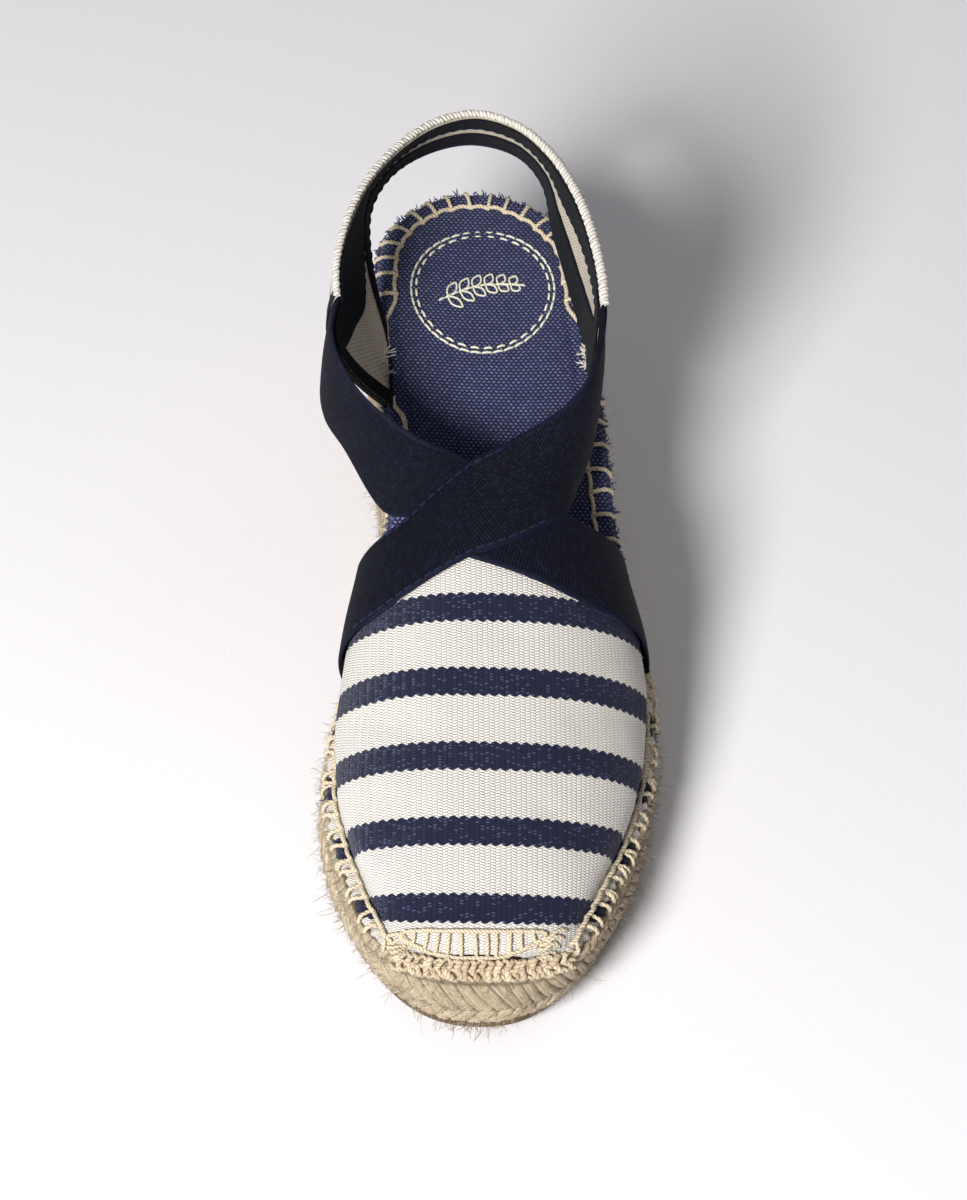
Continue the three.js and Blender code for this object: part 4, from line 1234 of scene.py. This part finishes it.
def make_vamp_stitch(outer):
    """Jute thread in the seam of the vamp, with slanted loops over its flange."""
    parts = Parts()
    for side, column, sign in (("medial", FLANGE, -1), ("lateral", -1 - FLANGE, 1)):
        seam = outer[:, column]
        seam = seam[(seam[:, 1] > -113.5) & (seam[:, 1] < -9)]
        run = lengths(seam)
        count = round(run[-1] / VAMP_STITCH_PITCH)
        stations = np.linspace(0, run[-1], count + 1) + random.normal(0, 0.3, count + 1)
        for a, b in zip(stations[:-1], stations[1:]):
            t = np.linspace(0, 1, 13)
            path = at_length(lerp(a - 0.8, b + 0.8, t), run, seam)
            path[:, 0] += sign * (0.35 + 0.75 * np.sin(np.pi * t))
            path[:, 2] += 0.35 + 0.55 * np.sin(np.pi * t)
            parts.tube(path, THREAD, 8, twist=2.1)
        for k, d in enumerate(stations):
            base = at_length(d, run, seam)
            s = rim_place(base[1], side)
            lean = sign * (2.2 if k % 2 else -0.9) + random.normal(0, 0.4)
            inset = seam_inset(base[1]) - 0.6
            rim_at = -seam_lip(base[1])
            outward = rim_at + np.array([-inset - rim_at, -0.65 * inset, -0.3 * inset, 0.0, 0.6, 0.8, 0.3])
            lift = np.array([1.9, 2.6, 2.5, 2.1, 1.1, -0.3, -1.5])
            path = rung(s, lean, outward, lift, 22)
            parts.tube(path, THREAD * random.uniform(0.8, 0.95), 8, twist=2.1)
            if random.random() < 0.3:
                path = rung(s, -0.7 * lean, outward + 0.3, lift, 22)
                parts.tube(path, THREAD * 0.7, 8, twist=1.8)
    parts.build("vamp_blanket_stitch", [JUTE_THREAD])


def form_height(x, y):
    """Height of the form over a plan point near the toe."""
    toe = toe_between(1, VAMP_INSET)
    ridge = form_ridge(y)
    edge = np.where(x < ridge, edge_x("medial", y, VAMP_INSET, toe),
                    edge_x("lateral", y, VAMP_INSET, toe))
    spread = np.clip(np.abs(x - ridge) / np.maximum(np.abs(edge - ridge), 1), 0, 1)
    base = sole_top(y) + SEAT_GAP
    square = form_square(y)
    return base + (form_crown(y) - base) * (1 - spread ** square) ** (1 / square)


TOE_BLOCK = (-3.5, 18.5)    # middle and half width of the toe block
TOE_BLOCK_STITCHES = 11


def toe_block_place(x, share):
    """y of the toe block at x, from its back edge (0) to its front edge (1)."""
    off = (x - TOE_BLOCK[0]) ** 2
    return lerp(-113.2 + 0.0045 * off, -118.6 + 0.0125 * off, share)


def on_vamp(x, y, lift):
    """Points that far above the toe of the vamp."""
    return np.column_stack([x, y, form_height(x, y) + lift])


def toe_stitches(parts):
    """Close upright stitches."""
    centre, half = TOE_BLOCK
    t = np.linspace(0, 1, 12)
    for k in range(TOE_BLOCK_STITCHES):
        x = (centre + (2 * (k + 0.5) / TOE_BLOCK_STITCHES - 1) * half * 0.93
             + random.normal(0, 0.2))
        xs = x + 0.8 * (x - centre) / half * t ** 2 + 0.2 * np.sin(3 * t + k)
        path = on_vamp(xs, toe_block_place(x, t), 0.3 + 0.55 * np.sin(np.pi * t) ** 0.6)
        parts.tube(path, 0.52, 8, twist=1.9)


def toe_frame(parts):
    """Two strands round the upright stitches, and fanned loops at both ends."""
    centre, half = TOE_BLOCK
    angle = np.linspace(0, 2 * np.pi, 150)
    squared = lambda value, power: np.sign(value) * np.abs(value) ** power
    for strand in range(2):
        wave = 0.22 * np.sin(angle * 17 + 3 * strand)
        x = centre + (half + 0.5 + wave) * squared(np.cos(angle), 0.45)
        share = 0.5 - (0.52 + 0.03 * wave) * squared(np.sin(angle), 0.7)
        path = on_vamp(x, toe_block_place(x, share), 0.75 - wave + 0.25 * strand)
        parts.tube(path, 0.46, 7, twist=1.8)
    t = np.linspace(0, 1, 14)
    for sign in (-1, 1):
        for k in range(5):
            start = np.array([centre + sign * (half - 1.5), -114.2 - 0.7 * k])
            end = np.array([centre + sign * (half + 6.0 - 0.9 * k), -110.6 - 1.9 * k])
            plan = lerp(start, end, t[:, None])
            plan[:, 1] -= sign * 0.5 * np.sin(2 * np.pi * t)
            path = on_vamp(plan[:, 0], plan[:, 1], 0.3 + 0.8 * np.sin(np.pi * t))
            parts.tube(path, 0.5, 8, twist=2.1)


def toe_knots(parts):
    """Two rows of thick slanted knots on the jute in front of the block, and loose strands."""
    toe_s = RIM_LENGTH / 2
    t = np.linspace(0, 1, 9)
    for out_by, drop, slope in ((0.0, 0.0, -1.7), (1.5, -2.1, 1.7)):
        for k in range(21):
            s = toe_s + (k - 10) * 2.15 + random.normal(0, 0.45)
            slant = slope * (t - 0.5) * random.uniform(0.3, 1.7)
            outward = out_by + 0.2 + 1.5 * t + 0.35 * np.sin(np.pi * t) + random.normal(0, 0.15)
            lift = drop + 0.9 - 2.3 * t + 0.5 * np.sin(np.pi * t) + random.normal(0, 0.3)
            parts.tube(rim_line(s + slant, outward, lift), 0.85 * random.uniform(0.7, 1.15), 9,
                       twist=2.3, tone=random.uniform(0.3, 1.6))
    s = np.linspace(toe_s - 24, toe_s + 24, 150)
    for out_by, drop in ((0.5, 0.9), (1.9, -1.1), (3.1, -3.0)):
        wave = 0.3 * np.sin(s * 2.9 + out_by) + 0.25 * np.sin(s * 1.3)
        lift = drop + 0.3 * np.cos(s * 2.9 + out_by) + 0.3 * np.sin(s * 0.8 + 3 * out_by)
        parts.tube(rim_line(s, out_by + wave, lift), 0.5, 7, twist=2.1, tone=0.7)


def make_toe_block():
    """The stitches that fasten the toe of the vamp to the sole."""
    parts = Parts()
    toe_stitches(parts)
    toe_frame(parts)
    toe_knots(parts)
    parts.build("toe_block_stitches", [JUTE_THREAD])


# ------------------------------------------------------------------ insole badge
def on_insole(x, y, lift):
    """Points just above the insole's face at plan points well inside its edge."""
    x, y = np.asarray(x, float), np.asarray(y, float)
    inner = -edge_x("medial", y, 0, toe_between(1, 0)) + x
    outer = edge_x("lateral", y, 0, toe_between(1, 0)) - x
    return np.column_stack([x, y, sole_top(y) + insole_height(np.minimum(inner, outer)) + lift])


def make_badge():
    """A sewn double ring with a plain leafy sprig inside it."""
    parts = Parts()
    cx, cy, radius = BADGE
    up = np.tile((0.0, 0.0, 1.0), (400, 1))
    angle = np.linspace(0, 2 * np.pi, 400)
    for r, length, space, thick in ((radius, 3.0, 0.25, 0.36), (radius - 1.45, 2.5, 1.3, 0.36)):
        line = on_insole(cx + r * np.cos(angle), cy + r * np.sin(angle), 0.12)
        sew_line(parts, line, length, space, thick, up)
    t = np.linspace(0, 1, 60)
    stem = lambda t: (cx - 12.5 + 25 * t, cy - 4.0 + 6.5 * t + 2.6 * np.sin(np.pi * t * 1.1))
    x, y = stem(t)
    sew_line(parts, on_insole(x, y, 0.14), 2.0, 0.2, 0.34, up[:60])
    for k in range(6):
        place = 0.10 + 0.145 * k
        x0, y0 = stem(place)
        for sign in (-1, 1):
            heading = math.radians(14 + sign * 52)
            size = 5.6 - 0.45 * k
            for bend in (-1, 1):
                w = np.linspace(0, 1, 14)
                px = x0 + size * w * math.cos(heading) - bend * 1.25 * np.sin(np.pi * w) * math.sin(heading)
                py = y0 + size * w * math.sin(heading) + bend * 1.25 * np.sin(np.pi * w) * math.cos(heading)
                parts.tube(on_insole(px, py, 0.26), 0.3, 6, twist=1.2)
    parts.build("insole_badge_stitches", [COTTON_THREAD])


# ------------------------------------------------------------------ loose ends
def curl(start, direction, length, bend, steps=7):
    """A short loose thread: it leaves start along direction and curls aside."""
    direction = unit(np.asarray(direction, float))
    aside = unit(np.cross(direction, random.normal(size=3)))
    t = np.linspace(0, 1, steps)[:, None]
    return start + direction * length * t + aside * length * bend * t ** 2


def fray_insole(parts):
    """Short ends all along the insole's edge, thicker between the rungs of the stitch."""
    spans = ((rim_place(-4, "lateral"), rim_place(58, "lateral")),
             (rim_place(72, "lateral"), RIM_LENGTH + rim_place(72, "medial")),
             (RIM_LENGTH + rim_place(54, "medial"), RIM_LENGTH + rim_place(-4, "medial")))
    for start, end in spans:
        for s in np.arange(start, end, 0.33):
            s = s + random.normal(0, 0.2)
            plan, out = rim(s, random.uniform(-0.1, 0.5))
            root = np.array([*plan, sole_top(plan[1]) + random.uniform(-0.6, 0.9)])
            clump = 0.6 + 0.5 * math.sin(2 * math.pi * s / STITCH_PITCH)
            direction = np.array([*out, random.normal(0.15, 0.5)]) + random.normal(0, 0.4, 3)
            tone = 2.0 if random.random() < 0.8 else (1.0 if random.random() < 0.7 else 0.0)
            length = random.uniform(0.5, 1.25) * (0.55 + clump)
            parts.tube(curl(root, direction, length, random.uniform(-1.0, 1.0), 5),
                       random.uniform(0.14, 0.26), 4, tone=tone, taper=0.5)


def fray_flange(parts, outer):
    """Ends of the vamp's canvas below its seam, in the colours of its stripes."""
    for side, edge in (("medial", outer[:, 0]), ("lateral", outer[:, -1])):
        edge = edge[(edge[:, 1] > -113) & (edge[:, 1] < -8)]
        run = lengths(edge)
        for d in np.arange(0, run[-1], 0.62):
            root = at_length(d, run, edge)
            away = (stripe_place(root[0], root[1]) / STRIPE_PITCH + 0.5) % 1 - 0.5
            tone = 1.0 if abs(away) * STRIPE_PITCH < STRIPE_WIDTH / 2 + 0.4 else 0.0
            _, out = rim(rim_place(root[1], side))
            direction = np.array([*out, -0.5]) + random.normal(0, 0.35, 3)
            root = root - np.array([*out, 0]) * 0.3
            parts.tube(curl(root, direction, random.uniform(0.8, 1.9), random.uniform(-0.3, 0.4)),
                       random.uniform(0.12, 0.2), 5, tone=tone, taper=0.4)


def fray_wings(parts):
    """Ends along the lower edges of both wings, and a pale tuft on the inside of each."""
    for front in (0.0, 12.0):
        for row in np.arange(front, front + 2.0, 0.05):
            point = band_point(row, np.array([0.985]))[0, 0]
            direction = random.normal(0, 0.6, 3) + (0, 0, -0.5)
            parts.tube(curl(point, direction, random.uniform(1.2, 2.8), random.uniform(-0.5, 0.5)),
                       random.uniform(0.14, 0.24), 5, tone=0.0 if random.random() < 0.75 else 1.0,
                       taper=0.4)
    for row, count, inward in ((13.2, 70, -0.7), (0.9, 25, 0.7)):
        for _ in range(count):
            near = row + random.uniform(-0.35, 0.35)
            point = band_point(near, np.array([0.96]))[0, 0]
            direction = random.normal(0, 0.5, 3) + (inward, 0.1, 0.5)
            parts.tube(curl(point, direction, random.uniform(1.5, 4.2), random.uniform(-0.6, 0.6)),
                       random.uniform(0.14, 0.24), 5, taper=0.4)


def make_cloth_fringe(outer):
    """Frayed yarn ends of the insole canvas, of the vamp's flange and of the wings."""
    parts = Parts()
    fray_insole(parts)
    fray_flange(parts, outer)
    fray_wings(parts)
    parts.build("frayed_yarn_ends", [FRINGE])


def make_jute_hairs(roots, outward):
    """Fine loose hairs of the jute wall: short fuzz everywhere and some long ends."""
    parts = Parts()
    for _ in range(JUTE_HAIRS):
        k = random.integers(len(roots))
        direction = outward[k] * random.uniform(0.3, 1.0) + random.normal(0, 0.6, 3)
        long = random.random() < 0.1
        length = random.uniform(3, 7) if long else random.uniform(0.8, 3.0)
        start = roots[k] - outward[k] * 0.15
        path = curl(start, direction, length, random.uniform(-0.9, 0.9), 8 if long else 5)
        path[:, 2] = np.maximum(path[:, 2], 0.2)
        parts.tube(path, random.uniform(0.04, 0.085), 3, taper=0.4)
    for _ in range(TOE_HAIRS):
        start = np.array([random.normal(-5, 6), -123.6, random.uniform(7.0, 10.0)])
        start[1] += 0.013 * (start[0] - TOE_AXIS_X) ** 2
        direction = np.array([random.normal(0, 0.8), -1, random.normal(-0.9, 0.4)])
        path = curl(start, direction, random.uniform(1.5, 4.5), random.uniform(-1, 1), 7)
        path[:, 2] = np.maximum(path[:, 2], 0.2)
        parts.tube(path, random.uniform(0.05, 0.1), 3, taper=0.4)
    parts.build("jute_hairs", [JUTE_THREAD])


# ------------------------------------------------------------------ camera, light and floor
def add_camera():
    """Camera at the photographer's place, aimed at the one shoe."""
    place = Vector(CAMERA) * MM
    forward = (Vector(CAMERA_AIM) * MM - place).normalized()
    right = forward.cross(Vector(CAMERA_UP)).normalized()
    data = bpy.data.cameras.new("camera")
    data.lens = LENS
    data.sensor_width = 36.0
    data.clip_end = 20.0
    camera = bpy.data.objects.new("camera", data)
    rotation = Matrix((right, right.cross(forward), -forward)).transposed()
    camera.matrix_world = Matrix.Translation(place) @ rotation.to_4x4()
    bpy.context.scene.collection.objects.link(camera)
    bpy.context.scene.camera = camera


def add_light(name, place, width, watts, tint):
    """A round area light that faces the shoe."""
    data = bpy.data.lights.new(name, "AREA")
    data.shape = "DISK"
    data.size = width
    data.energy = watts
    data.color = tint
    light = bpy.data.objects.new(name, data)
    light.location = Vector(place) * MM
    light.rotation_mode = "QUATERNION"
    light.rotation_quaternion = (Vector(LIGHT_AIM) * MM - light.location).to_track_quat("-Z", "Y")
    bpy.context.scene.collection.objects.link(light)


def add_floor():
    """A flat sheet of paper under the shoe."""
    mesh = bpy.data.meshes.new("floor")
    corners = [(-1, -1), (1, -1), (1, 1), (-1, 1)]
    places = [(x * FLOOR_REACH, y * FLOOR_REACH, 0) for x, y in corners]
    mesh.from_pydata(places, [], [(0, 1, 2, 3)])
    mesh.materials.append(PAPER)
    floor = bpy.data.objects.new("floor", mesh)
    bpy.context.scene.collection.objects.link(floor)


def add_studio():
    """Floor, soft lights and a pale even sky."""
    add_floor()
    for light in LIGHTS:
        add_light(*light)
    world = bpy.data.worlds.new("studio")
    bpy.context.scene.world = world
    world.use_nodes = True
    sky = world.node_tree.nodes["Background"]
    sky.inputs["Color"].default_value = colour(*SKY)
    sky.inputs["Strength"].default_value = SKY_STRENGTH
    bpy.context.scene.view_settings.view_transform = "Standard"


# ------------------------------------------------------------------ assembly
add_camera()
add_studio()
make_outsole()
jute_roots, jute_outward = make_jute()
make_insole()
vamp_face = make_vamp()
make_ribbons()
make_heel_band()
make_band_tapes()
make_band_cord()
make_band_stitches()
make_blanket_stitch()
make_vamp_stitch(vamp_face)
make_toe_block()
make_badge()
make_cloth_fringe(vamp_face)
make_jute_hairs(jute_roots, jute_outward)
